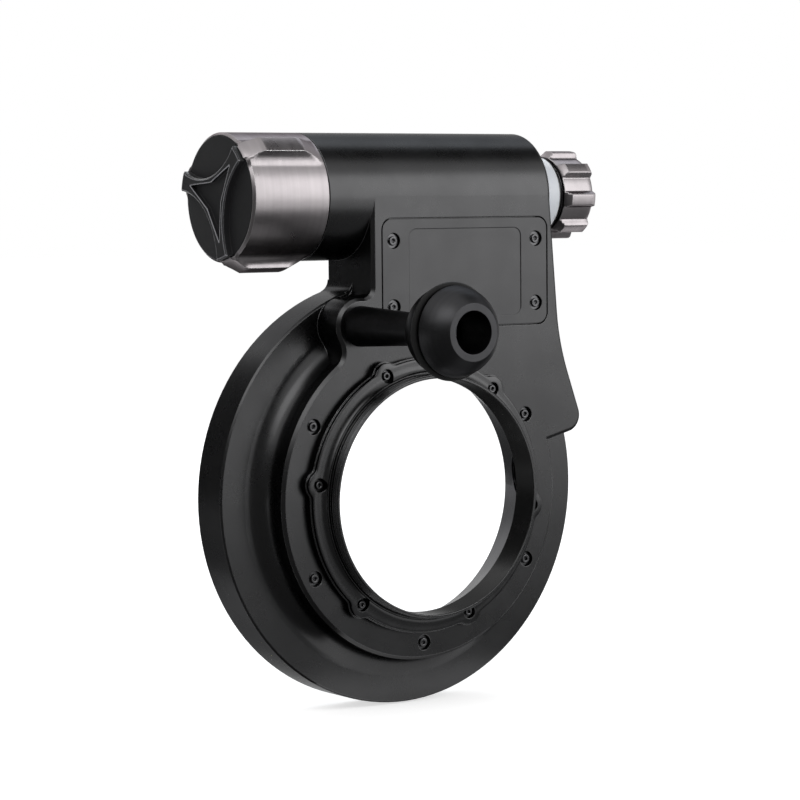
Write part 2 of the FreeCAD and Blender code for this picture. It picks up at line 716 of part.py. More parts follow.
def cover_pieces():
    sides = ["plate_left + plate_groove", "plate_right - plate_groove", "plate_low + plate_groove",
             "plate_high - plate_groove"]
    plate = rounded_block("cover_blank", *sides, "0", "plate_thick", "plate_round - plate_groove")
    tools = [
        rounded_block("label_recess", "label_left", "label_right", "label_low", "label_high",
                      "-1", "label_depth", "label_round"),
        rods("cover_seat", COVER_SPOTS, "cover_head_radius + fit_gap", "-1",
             "cover_head_height + cover_head_sink"),
        rods("cover_hole", COVER_SPOTS, "cover_shank_radius + slack", "-1", "plate_thick + 1"),
    ]
    keep(cut("cover_cut", plate, tools), "cover_plate")
    gasket = cut("gasket_cut", room_block("gasket_outer", "gasket_width + slack", "plate_thick",
                                          "plate_thick + gasket_thick", "room_round + gasket_width"),
                 [room_block("gasket_inner", "slack", "0", "room_depth", "room_round")])
    keep(gasket, "cover_gasket")
    screws("cover_screws", COVER_SPOTS, "cover", "cover_head_sink")


def driver_pieces():
    """Board in the room under the plate, its parts, its screws and its leads."""
    board = room_block("driver_blank", "-driver_margin", "driver_rear", DRIVER_FRONT,
                       "room_round - driver_margin")
    drilled = rods("driver_hole", BOSS_SPOTS, "board_shank_radius + fit_gap", "0", "room_depth")
    keep(cut("driver_cut", board, [drilled]), "driver_board")
    screws("board_screws", BOSS_SPOTS, "board", "driver_rear - board_head_height")
    middle = "(room_left + room_right) / 2"
    coil = rod("driver_coil", "lamp_size", "lamp_size", "Y", f"{middle} - driver_part_pitch",
               DRIVER_FRONT, "boss_left_up")
    chip = add("Part::Box", "driver_chip", Length="lamp_size * 2", Width="lamp_height", Height="lamp_size * 2")
    place(chip, middle, DRIVER_FRONT, "boss_left_up - lamp_size")
    switch = add("Part::Box", "driver_switch", Length="lamp_size", Width="lamp_height * 2", Height="lamp_size")
    place(switch, f"{middle} + driver_part_pitch", DRIVER_FRONT, "boss_left_up - lamp_size / 2")
    group("driver_parts", [coil, chip, switch])
    spots = [f"lamp_wire_across + {side} * lamp_wire_pitch / 2" for side in (-1, 1)]
    end = cone(BOARD_BACK, "sqrt((lamp_wire_across - lamp_wire_pitch) ^ 2 + (lamp_wire_up - wire_radius) ^ 2)")
    leads = [rod(f"lamp_lead_{k}", "wire_radius", f"{end} - ({DRIVER_FRONT})", "Y", x,
                 DRIVER_FRONT, "lamp_wire_up") for k, x in enumerate(spots)]
    group("led_leads", leads)
    across = f"{BATTERY_END} - contact_board_thick / 2"
    keep(rising_rod("battery_lead_rod", "wire_radius", across, f"{CELL_BORE} - slack"), "battery_lead")
    keep(rising_rod("encoder_lead_rod", "wire_radius", "knob_wire_across", f"{ENCODER_BORE} - slack"),
         "encoder_lead")


def on_tube(name, corners, turn=0.0):
    """Piece turned about the tube's axis, with x as in the whole light."""
    body = turned(f"{name}_body", corners, "X")
    place(body, along="tube_radius", up="tube_up", turn=FreeCAD.Rotation(FreeCAD.Vector(1, 0, 0), turn))
    return keep(body, name)


def battery_pieces():
    bevel = "cell_room"
    on_tube("battery_cell", [
        ("cell_left", "0"), ("cell_left", f"cell_radius - {bevel}"), (f"cell_left + {bevel}", "cell_radius"),
        (f"cell_right - cell_nub - {bevel}", "cell_radius"),
        ("cell_right - cell_nub", f"cell_radius - {bevel}"), ("cell_right - cell_nub", "cell_nub_radius"),
        ("cell_right", "cell_nub_radius"), ("cell_right", "0")])
    contact_end = "cell_right + contact_height"
    on_tube("positive_contact", cylinder_corners("cell_right", contact_end, "contact_radius"))
    on_tube("contact_board", cylinder_corners(contact_end, BATTERY_END, f"{CELL_BORE} - fit_gap"))


def knob_end_pieces():
    neck_end = "encoder_left + encoder_body_length + encoder_neck_length"
    bore = "rotor_radius + running_gap"
    on_tube("encoder_body", [
        ("encoder_left", "0"), ("encoder_left", "encoder_radius"),
        ("encoder_left + encoder_body_length", "encoder_radius"),
        ("encoder_left + encoder_body_length", "encoder_neck_radius"), (neck_end, "encoder_neck_radius"),
        (neck_end, bore), ("encoder_left + encoder_floor", bore), ("encoder_left + encoder_floor", "0")])
    on_tube("status_board", cylinder_corners("tube_right - status_thick", "tube_right", "status_radius",
                                             "encoder_neck_radius + fit_gap"))
    on_tube("light_ring", [
        ("tube_right", "glow_hollow"), ("tube_right", "glow_radius"), ("glow_right", "glow_radius"),
        ("glow_right", "glow_bore"), ("tube_right + glow_hollow_depth", "glow_bore"),
        ("tube_right + glow_hollow_depth", "glow_hollow")])
    sleeve = "glow_bore - fit_gap"
    thread = "encoder_neck_radius + slack"
    plate = "glow_right + collar_thick"
    on_tube("collar", [
        ("glow_right - collar_sleeve", thread), ("glow_right - collar_sleeve", sleeve), ("glow_right", sleeve),
        ("glow_right", "collar_radius"), (f"{plate} - collar_bevel", "collar_radius"),
        (plate, "collar_radius - collar_bevel"),
        (plate, bore), ("glow_right - collar_bevel", bore), ("glow_right - collar_bevel", thread)])
    on_tube("shaft_seal", cylinder_corners(f"{neck_end} + slack", "glow_right - collar_bevel - slack",
                                           "encoder_neck_radius", bore))
    on_tube("encoder_rotor", cylinder_corners("rotor_left", "rotor_right", "rotor_radius",
                                              "shaft_radius + running_gap"))
    disc_left = "knob_left - disc_proud"
    disc_right = f"{disc_left} + disc_thick"
    shaft_end = "knob_right - knob_roof - slack"
    on_tube("knob_shaft", [
        ("shaft_left", "0"), ("shaft_left", "shaft_radius"), (disc_left, "shaft_radius"),
        (disc_left, "disc_radius"), (disc_right, "disc_radius"), (disc_right, "shaft_radius"),
        (shaft_end, "shaft_radius"), (shaft_end, "0")])
    chips = []
    for k in range(4):
        heading = FreeCAD.Rotation(FreeCAD.Vector(1, 0, 0), 90 * k)
        half = number("status_lamp / 2")
        spot = heading.multVec(FreeCAD.Vector(0, -half, number("status_lamp_circle") - half))
        chip = add("Part::Box", f"status_chip_{k}", Length="status_lamp_height", Width="status_lamp",
                   Height="status_lamp")
        origin = FreeCAD.Vector(number("tube_right"), number("tube_radius"), number("tube_up"))
        chip.Placement = FreeCAD.Placement(origin + spot, heading)
        chips.append(chip)
    group("status_leds", chips)


def polar_pattern(body, source, count):
    """Copies of a feature about the body's X axis."""
    pattern = body.newObject("PartDesign::PolarPattern", f"{source.Name}_pattern")
    pattern.Originals = [source]
    axes = {axis.Role: axis for axis in body.Origin.OriginFeatures}
    pattern.Axis = (axes["X_Axis"], [""])
    pattern.Angle = 360
    pattern.Occurrences = int(number(count))
    body.Tip = pattern
    doc.recompute()
    return pattern


def side_pocket(body, name, corners, offset, depth, leftward):
    """Pocket drawn square to X at an offset; leftward pockets run towards -X."""
    sketch = plane_sketch(body, f"{name}_outline", "YZ_Plane")
    sketch.setExpression("AttachmentOffset.Base.z", bound(offset))
    outline(sketch, corners)
    pocket = feature(body, "Pocket", name, sketch, Length=depth)
    pocket.Reversed = not leftward
    doc.recompute()
    return pocket


def knob():
    """Fluted knob: eight crests, drawn with a groove centre pointing up."""
    disc_right = "knob_left - disc_proud + disc_thick + fit_gap"
    body = on_tube("knob", [
        (disc_right, "shaft_radius + slack"), (disc_right, "disc_radius + fit_gap"),
        ("knob_left", "disc_radius + fit_gap"), ("knob_left", "knob_radius - knob_bevel"),
        ("knob_left + knob_bevel", "knob_radius"), ("knob_right - knob_edge", "knob_radius"),
        ("knob_right", "knob_radius - knob_edge"), ("knob_right", "0"),
        ("knob_right - knob_roof", "0"), ("knob_right - knob_roof", "shaft_radius + slack")],
        number("knob_turned"))
    reach = "knob_radius + 1"
    corners = []
    for side, angle, radius in ((-1, "knob_groove_floor_angle", "knob_floor"),
                                (1, "knob_groove_floor_angle", "knob_floor"),
                                (1, "knob_groove_mouth_angle", reach), (-1, "knob_groove_mouth_angle", reach)):
        corners.append((f"{side} * ({radius}) * sin({angle})", f"({radius}) * cos({angle})"))
    pocket = side_pocket(body, "knob_groove", corners, "knob_left - 1", "knob_right - knob_left + 2", False)
    polar_pattern(body, pocket, "knob_grooves")


def cap_pieces():
    """Screw cap of the battery tube; its own frame has one rib pointing up."""
    turn = number("rib_turned")
    right = "tube_left - cap_gap"
    grooves = []
    for k in range(2):
        start = f"cap_groove_first - {k} * cap_groove_pitch"
        stop = f"{start} - cap_groove_width"
        grooves += [(start, "cap_spigot_radius"), (start, "cap_groove_floor"),
                    (stop, "cap_groove_floor"), (stop, "cap_spigot_radius")]
    inner_end = "cap_left + end_step"
    sleeve = turned("cap_sleeve_blank", [
        ("cap_right", CELL_BORE), ("cap_right", "cap_spigot_radius - cap_lead_in"),
        ("cap_right - cap_lead_in", "cap_spigot_radius"), *grooves, (right, "cap_spigot_radius"),
        (right, "tube_radius - cap_seam_bevel"), (f"{right} - cap_seam_bevel", "tube_radius"),
        ("cap_left + cap_bevel", "tube_radius"),
        ("cap_left", "tube_radius - cap_bevel"), ("cap_left", "end_disc_radius + slack"),
        (inner_end, "end_disc_radius + slack"), (inner_end, "cap_inner"),
        (f"{right} - cap_shoulder", "cap_inner"), (f"{right} - cap_shoulder", CELL_BORE)], "X")
    rib_root = "(end_disc_radius + slack + tube_radius) / 2"
    ribs = []
    for k in range(3):
        rib = turned(f"cap_rib_{k}", [
            (f"{right} - cap_lead_in", rib_root), (f"{right} - cap_lead_in", "tube_radius"),
            ("rib_right", "rib_radius"), ("rib_left", "rib_radius"), ("rib_end", "tube_radius"),
            ("rib_end", "arm_radius + slack"), ("cap_left", "arm_radius + slack"),
            ("cap_left + cap_bevel", rib_root)], "X", "rib_angle")
        heading = FreeCAD.Rotation(FreeCAD.Vector(1, 0, 0), 120 * k + 90)
        rib.Placement = FreeCAD.Placement(FreeCAD.Vector(), heading)
        ribs.append(rib)
    whole = fuse("cap_sleeve_whole", [sleeve] + ribs)
    place(whole, along="tube_radius", up="tube_up", turn=FreeCAD.Rotation(FreeCAD.Vector(1, 0, 0), turn))
    keep(whole, "cap_sleeve")

    body = on_tube("cap_end", [
        ("end_plug_right", "0"), ("end_plug_right", "cap_inner - fit_gap"), (inner_end, "cap_inner - fit_gap"),
        (inner_end, "end_disc_radius"), ("cap_left - slack", "end_disc_radius"),
        ("cap_left - slack", "arm_radius"), ("arm_top", "arm_radius"), ("arm_top", "0")], turn)
    sketch = plane_sketch(body, "leaf_outline", "YZ_Plane")
    sketch.setExpression("AttachmentOffset.Base.z", bound("arm_top - 1"))
    sketch.addGeometry(Part.Circle(FreeCAD.Vector(0, -number("leaf_centre"), 0), FreeCAD.Vector(0, 0, 1),
                                   number("leaf_radius")), False)
    for kind, text in (("DistanceX", "0"), ("DistanceY", "-leaf_centre")):
        index = sketch.addConstraint(Sketcher.Constraint(kind, -1, 1, 0, 3, number(text)))
        sketch.renameConstraint(index, kind.lower())
        sketch.setExpression(f"Constraints.{kind.lower()}", bound(text))
    index = sketch.addConstraint(Sketcher.Constraint("Radius", 0, number("leaf_radius")))
    sketch.renameConstraint(index, "leaf")
    sketch.setExpression("Constraints.leaf", bound("leaf_radius"))
    leaf = feature(body, "Pocket", "leaf", sketch, Length="cap_left - slack - arm_top + 1")
    leaf.Reversed = True
    doc.recompute()
    polar_pattern(body, leaf, "3")
    star = []
    for k in range(3):
        star.append((f"-star_tip * sin({120 * k})", f"star_tip * cos({120 * k})"))
        star.append((f"-star_waist * sin({120 * k + 60})", f"star_waist * cos({120 * k + 60})"))
    side_pocket(body, "star", star, "arm_top - 1", "star_depth + 1", False)
    edges = []
    for k in range(3):
        for reach, angle in (("(leaf_centre - leaf_radius)", 120 * k + 180), ("arm_radius", 120 * k)):
            edges.append(("arm_top", f"-{reach} * sin({angle})", f"{reach} * cos({angle})"))
    dress(body, "Chamfer", edges, "arm_bevel")

    contact_right = "end_plug_right + cap_contact_thick"
    on_tube("cap_contact", cylinder_corners("end_plug_right", contact_right, "cap_contact_radius"))
    on_tube("cap_spring", cylinder_corners(contact_right, "cell_left - cap_spring_gap", "cap_spring_radius",
                                           "cap_spring_radius - cap_spring_wall"))
    rings = []
    for k in range(2):
        ring = add("Part::Torus", f"cap_seal_{k}", Radius1="cap_spigot_radius + slack - cap_seal_wire",
                   Radius2="cap_seal_wire")
        middle = f"cap_groove_first - {k} * cap_groove_pitch - cap_groove_width / 2"
        rings.append(place(ring, middle, "tube_radius", "tube_up", AXIS_TURNS["X"]))
    group("cap_seals", rings)


def ball_pieces():
    at_ball = {"across": "ball_across", "up": "ball_up"}
    ball = place(add("Part::Sphere", "ball_blank", Radius="ball_radius"), along="-ball_back", **at_ball)
    stalk = turned("stalk_blank", [
        ("0", "0"), ("stalk_foot", "0"), ("stalk_radius", "-ball_back + ball_radius"),
        ("stalk_radius", "-ball_back"), ("0", "-ball_back")], "Y")
    place(stalk, **at_ball)
    head_floor = "-ball_end + ball_head_sink + ball_head_height"
    groove_floor = "seal_outer - 2 * seal_wire - slack"
    groove = turned("seal_groove", [
        (groove_floor, "-seal_wire - seal_room"), ("seal_outer + 1", "-seal_wire - seal_room"),
        ("seal_outer + 1", "seal_wire + slack"), (groove_floor, "seal_wire + slack")], "Y")
    place(groove, along="-ball_back", **at_ball)
    tools = [
        rod("ball_flat", "ball_radius + 1", "ball_radius", "Y", "ball_across",
            "-ball_end - ball_radius", "ball_up"),
        rod("ball_head_hole", "ball_hole_radius", f"({head_floor}) + ball_end + 1", "Y", "ball_across",
            "-ball_end - 1", "ball_up"),
        rod("ball_shank_hole", "ball_bolt_radius + fit_gap", "ball_end + 5", "Y", "ball_across", "-ball_end",
            "ball_up"),
        groove,
    ]
    keep(cut("ball_cut", fuse("ball_whole", [ball, stalk]), tools), "ball_stalk")
    seal = add("Part::Torus", "ball_seal_torus", Radius1="seal_outer - seal_wire", Radius2="seal_wire")
    keep(place(seal, along="-ball_back", turn=AXIS_TURNS["Y"], **at_ball), "ball_seal")
    top = "-ball_end + ball_head_sink"
    bolt = turned("ball_bolt_blank", [
        ("0", top), ("ball_head_radius - ball_head_bevel", top),
        ("ball_head_radius", f"{top} + ball_head_bevel"), ("ball_head_radius", head_floor),
        ("ball_bolt_radius", head_floor), ("ball_bolt_radius", BOLT_TIP), ("0", BOLT_TIP)], "Y")
    place(bolt, **at_ball)
    socket = add("Part::Prism", "ball_bolt_socket", Circumradius="ball_hex", Height="ball_head_height / 2")
    place(socket, along=top, turn=AXIS_TURNS["Y"], **at_ball)
    keep(cut("ball_bolt_cut", bolt, [socket]), "ball_screw")


housing()
bore_liner()
front_pieces()
lamps("cool_leds", ["lamp_row_inner", "lamp_row_outer"], 18, 0.0)
lamps("warm_leds", ["lamp_row_inner", "lamp_row_outer"], 18, 0.5)
mount_ring()
screws("mount_ring_screws", RING_SPOTS, "ring", "-ring_thick + ring_head_sink")
screws("housing_screws", HUB_SPOTS, "hub", "hub_head_sink")
cover_pieces()
driver_pieces()
battery_pieces()
knob_end_pieces()
knob()
cap_pieces()
ball_pieces()
doc.recompute()

for item in doc.Objects:
    if "Invalid" in item.State or "Error" in item.State:
        raise RuntimeError(f"{item.Name} did not compute")
for item in SUB_PARTS:
    if item.Shape.isNull() or not item.Shape.isValid():
        raise RuntimeError(f"{item.Label} has no valid shape")

os.makedirs("parts", exist_ok=True)
for item in SUB_PARTS:
    item.Shape.exportStep(f"parts/{item.Label}.step")
    print(item.Label, len(item.Shape.Solids), round(item.Shape.Volume, 1))
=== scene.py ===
# %% [markdown]
# The light is a small machined product: a ring that sits round a lens, a neck, and a tube for one
# battery. The solid model comes in as a fixed frame, already at its real size and place. One way
# would be to model everything again here; instead the solids stay, get real finishes, and only the
# forms that need finer edges are rebuilt over them.

# %% Load the frame
import json
import math

import bmesh
import bpy
from mathutils import Matrix, Vector


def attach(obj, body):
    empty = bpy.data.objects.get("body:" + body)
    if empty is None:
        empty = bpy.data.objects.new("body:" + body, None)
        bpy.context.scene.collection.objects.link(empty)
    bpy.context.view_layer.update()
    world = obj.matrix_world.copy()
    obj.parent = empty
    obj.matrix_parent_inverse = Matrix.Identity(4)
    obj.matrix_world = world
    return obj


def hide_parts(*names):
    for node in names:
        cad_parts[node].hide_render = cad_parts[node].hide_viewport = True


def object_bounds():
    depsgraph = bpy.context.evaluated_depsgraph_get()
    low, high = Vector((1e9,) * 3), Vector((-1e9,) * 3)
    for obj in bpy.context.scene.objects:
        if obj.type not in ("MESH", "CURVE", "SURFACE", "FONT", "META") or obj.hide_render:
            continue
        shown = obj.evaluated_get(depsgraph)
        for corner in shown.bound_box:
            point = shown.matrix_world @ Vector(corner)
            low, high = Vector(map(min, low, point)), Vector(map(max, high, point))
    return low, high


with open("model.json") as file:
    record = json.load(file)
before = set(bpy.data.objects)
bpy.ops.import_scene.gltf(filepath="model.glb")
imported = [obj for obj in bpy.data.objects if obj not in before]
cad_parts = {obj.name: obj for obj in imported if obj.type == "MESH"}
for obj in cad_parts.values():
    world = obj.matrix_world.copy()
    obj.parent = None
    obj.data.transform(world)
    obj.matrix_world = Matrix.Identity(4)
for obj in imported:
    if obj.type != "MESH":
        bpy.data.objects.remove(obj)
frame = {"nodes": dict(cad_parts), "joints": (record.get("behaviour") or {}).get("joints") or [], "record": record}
cad_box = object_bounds()
scene = bpy.context.scene
MM = 0.001
print("solids loaded:", len(frame["nodes"]))

# %% Where the turned pieces have their axes
knob_joint = next(j for j in frame["joints"] if j["name"] == "knob_turn")
TUBE = Vector(knob_joint["pos_m"])
ball_mount = next(m for m in frame["record"]["mounts"] if m["name"] == "ball")
BALL = Vector(ball_mount["pos_m"])
LENS = Vector((0, 0, 0))
print("tube axis at", tuple(TUBE), "ball at", tuple(BALL))

# %% [markdown]
# A camera far away with a long lens keeps the ring nearly round, as product pictures do. The place
# below was worked out from circles whose real sizes are known, so the view matches the photograph.
# A target and a roll angle say it more plainly than a matrix would.

# %% Camera
CAMERA_TURN = math.radians(-34.66)
CAMERA_RISE = math.radians(3.974)
CAMERA_ROLL = math.radians(-0.498)
CAMERA_DISTANCE = 0.8373
CAMERA_TARGET = Vector((-0.00677, 0, 0.02752))
FOCAL_LENGTH = 131.65
PICTURE_SHIFT = (-0.00356, 0.00058)

back = Vector((math.sin(CAMERA_TURN) * math.cos(CAMERA_RISE),
               -math.cos(CAMERA_TURN) * math.cos(CAMERA_RISE), math.sin(CAMERA_RISE)))
right = Vector((0, 0, 1)).cross(back).normalized()
up = back.cross(right)
rolled_right = math.cos(CAMERA_ROLL) * right + math.sin(CAMERA_ROLL) * up
rolled_up = math.cos(CAMERA_ROLL) * up - math.sin(CAMERA_ROLL) * right
camera = bpy.data.objects.new("camera", bpy.data.cameras.new("camera"))
scene.collection.objects.link(camera)
camera.matrix_world = (Matrix.Translation(CAMERA_TARGET + back * CAMERA_DISTANCE)
                       @ Matrix((rolled_right, rolled_up, back)).transposed().to_4x4())
camera.data.lens = FOCAL_LENGTH
camera.data.shift_x, camera.data.shift_y = PICTURE_SHIFT
scene.camera = camera
print("camera stands at", tuple(round(v, 4) for v in camera.matrix_world.translation))


# %% [markdown]
# A studio picture of a black product is lit by large soft panels: the black itself shows almost
# nothing, and what the eye reads is what it mirrors. Small bulbs would give hard dots, so four wide
# panels are used. Dark flags stand beside and above the light, out of the picture, as photographers
# do with a shiny object on white: walls that would mirror the white all round turn dark again.
# Grey cards lie low round the light as well, for the slopes that mirror what is below them.

# %% Soft panels
MIDDLE = (0, 0, 0.03)


def aim(holder, place, target):
    """Put an object at a place, its own Z axis away from the target."""
    holder.location = place
    holder.rotation_euler = (Vector(place) - Vector(target)).to_track_quat("Z", "Y").to_euler()
    scene.collection.objects.link(holder)
    return holder


def panel(name, place, width, height, power, colour=(1, 1, 1)):
    """A soft rectangular lamp that faces the middle of the light."""
    lamp = bpy.data.lights.new(name, "AREA")
    lamp.shape = "RECTANGLE"
    lamp.size = width
    lamp.size_y = height
    lamp.energy = power
    lamp.color = colour
    return aim(bpy.data.objects.new(name, lamp), place, MIDDLE)


panel("panel_left", (-0.55, -0.4, 0.72), 0.6, 0.5, 1.6)
panel("panel_right", (0.68, -0.8, 0.35), 0.6, 0.7, 2.8)
panel("panel_top", (0.5, 0.45, 0.72), 0.6, 0.5, 1.4, (0.82, 0.91, 1.0))
panel("panel_front", (0.1, 0.9, 0.4), 0.7, 0.7, 2.0)


# %% Dark flags
def plain_material(name, grey):
    """Matt finish for things that only stand round the object."""
    material = bpy.data.materials.new(name)
    material.use_nodes = True
    shader = material.node_tree.nodes["Principled BSDF"]
    shader.inputs["Base Color"].default_value = (grey, grey, grey, 1)
    shader.inputs["Roughness"].default_value = 1.0
    shader.inputs["Specular IOR Level"].default_value = 0.0
    return material


flag_black = plain_material("flag_black", 0.01)
flag_dim = plain_material("flag_dim", 0.2)
flag_grey = plain_material("flag_grey", 0.3)
flag_pale = plain_material("flag_pale", 0.5)
CARD_LEVEL = -0.058


def rectangle(name, width, height, level=0.0):
    """Flat mesh about the origin, facing up."""
    x, y = width / 2, height / 2
    mesh = bpy.data.meshes.new(name)
    mesh.from_pydata([(-x, -y, level), (x, -y, level), (x, y, level), (-x, y, level)], [], [(0, 1, 2, 3)])
    return mesh


def flag(name, place, width, height, target=MIDDLE, material=flag_black):
    """A dark card that only mirror-like rays meet, so it shades nothing."""
    mesh = rectangle(name, width, height)
    mesh.materials.append(material)
    card = aim(bpy.data.objects.new(name, mesh), place, target)
    card.visible_camera = False
    card.visible_diffuse = False
    card.visible_shadow = False
    return card


def low_card(name, x, y, width, height, material):
    """A flag that lies flat, just over the floor."""
    return flag(name, (x, y, CARD_LEVEL), width, height, (x, y, 1), material)


flag("flag_left", (-0.42, 0.42, 0.1), 0.75, 0.7, material=flag_dim)
flag("flag_far_left", (-0.8, -0.1, 0.05), 0.7, 0.6, material=flag_dim)
flag("flag_above", (0.34, -0.05, 0.6), 0.3, 0.28)
flag("flag_beside_camera", (-0.38, -0.62, 0.05), 1.3, 0.6, (0, 0, 0.05), flag_dim)
low_card("flag_low_right", 0.225, -0.165, 0.35, 0.37, flag_grey)
low_card("flag_low_left", -0.38, -0.29, 0.7, 0.62, flag_dim)
low_card("flag_low_middle", 0.01, -0.31, 0.08, 0.58, flag_pale)
low_card("flag_low_behind", 0.11, 0.3, 0.38, 0.42, flag_grey)
low_card("flag_low_beside", -0.25, 0.26, 0.32, 0.48, flag_pale)


# %% [markdown]
# The background is white to the camera, and to rays that come off metal or through clear plastic,
# so they show it as well. As a light it is kept dimmer, or the panels would lose their shape. Light
# Path tells the kinds of ray apart, both in the world and in the floor, which keeps the shadow.

# %% World
def seen_or_mirrored(nodes, links):
    """1 for rays from the camera, off a mirror or through a clear piece."""
    rays = nodes.new("ShaderNodeLightPath")
    value = rays.outputs["Is Camera Ray"]
    for kind in ("Is Glossy Ray", "Is Transmission Ray"):
        either = nodes.new("ShaderNodeMath")
        either.operation = "MAXIMUM"
        links.new(value, either.inputs[0])
        links.new(rays.outputs[kind], either.inputs[1])
        value = either.outputs[0]
    return value


def white_background(strength_as_light):
    """World that is white where it is seen or mirrored, and dimmer as a light."""
    world = bpy.data.worlds.new("studio")
    scene.world = world
    world.use_nodes = True
    nodes, links = world.node_tree.nodes, world.node_tree.links
    nodes.clear()
    shaders = []
    for strength in (strength_as_light, 1.0):
        background = nodes.new("ShaderNodeBackground")
        background.inputs["Color"].default_value = (1, 1, 1, 1)
        background.inputs["Strength"].default_value = strength
        shaders.append(background)
    mix = nodes.new("ShaderNodeMixShader")
    links.new(seen_or_mirrored(nodes, links), mix.inputs["Fac"])
    links.new(shaders[0].outputs[0], mix.inputs[1])
    links.new(shaders[1].outputs[0], mix.inputs[2])
    links.new(mix.outputs[0], nodes.new("ShaderNodeOutputWorld").inputs["Surface"])


white_background(strength_as_light=0.45)
scene.view_settings.view_transform = "Standard"
print("view transform:", scene.view_settings.view_transform)

# %% Floor
FLOOR_SIZE, FLOOR_GAP = 12.0, 0.0005


def glow_where_seen(material, strength):
    """Lift a matt material to white where it is seen or mirrored, with the shadow still on it."""
    nodes, links = material.node_tree.nodes, material.node_tree.links
    glow = nodes.new("ShaderNodeEmission")
    glow.inputs["Strength"].default_value = strength
    total = nodes.new("ShaderNodeAddShader")
    mix = nodes.new("ShaderNodeMixShader")
    matt = nodes["Principled BSDF"].outputs[0]
    links.new(matt, total.inputs[0])
    links.new(glow.outputs[0], total.inputs[1])
    links.new(seen_or_mirrored(nodes, links), mix.inputs["Fac"])
    links.new(matt, mix.inputs[1])
    links.new(total.outputs[0], mix.inputs[2])
    links.new(mix.outputs[0], nodes["Material Output"].inputs["Surface"])


floor_level = cad_box[0][2] - FLOOR_GAP
floor_mesh = rectangle("floor", FLOOR_SIZE, FLOOR_SIZE, floor_level)
floor = bpy.data.objects.new("floor", floor_mesh)
scene.collection.objects.link(floor)
floor_white = plain_material("floor_white", 0.9)
glow_where_seen(floor_white, 0.62)
floor_mesh.materials.append(floor_white)
print("floor at", round(floor_level, 5))


# %% [markdown]
# Machined metal is never one flat colour. Bead blasting leaves a grain finer than a tenth of a
# millimetre, and a lathe leaves rings about the axis that it turned on. Both could be painted as
# pictures; here they are noise read from the object's own coordinates, so they keep their real size
# on every piece. The small softening of each edge comes from the Bevel node.

# %% Helpers for finishes
# Sockets of a Mix node for colours go by number, because their names repeat for its other kinds.
FACTOR, FIRST, SECOND, MIXED = 0, 6, 7, 2


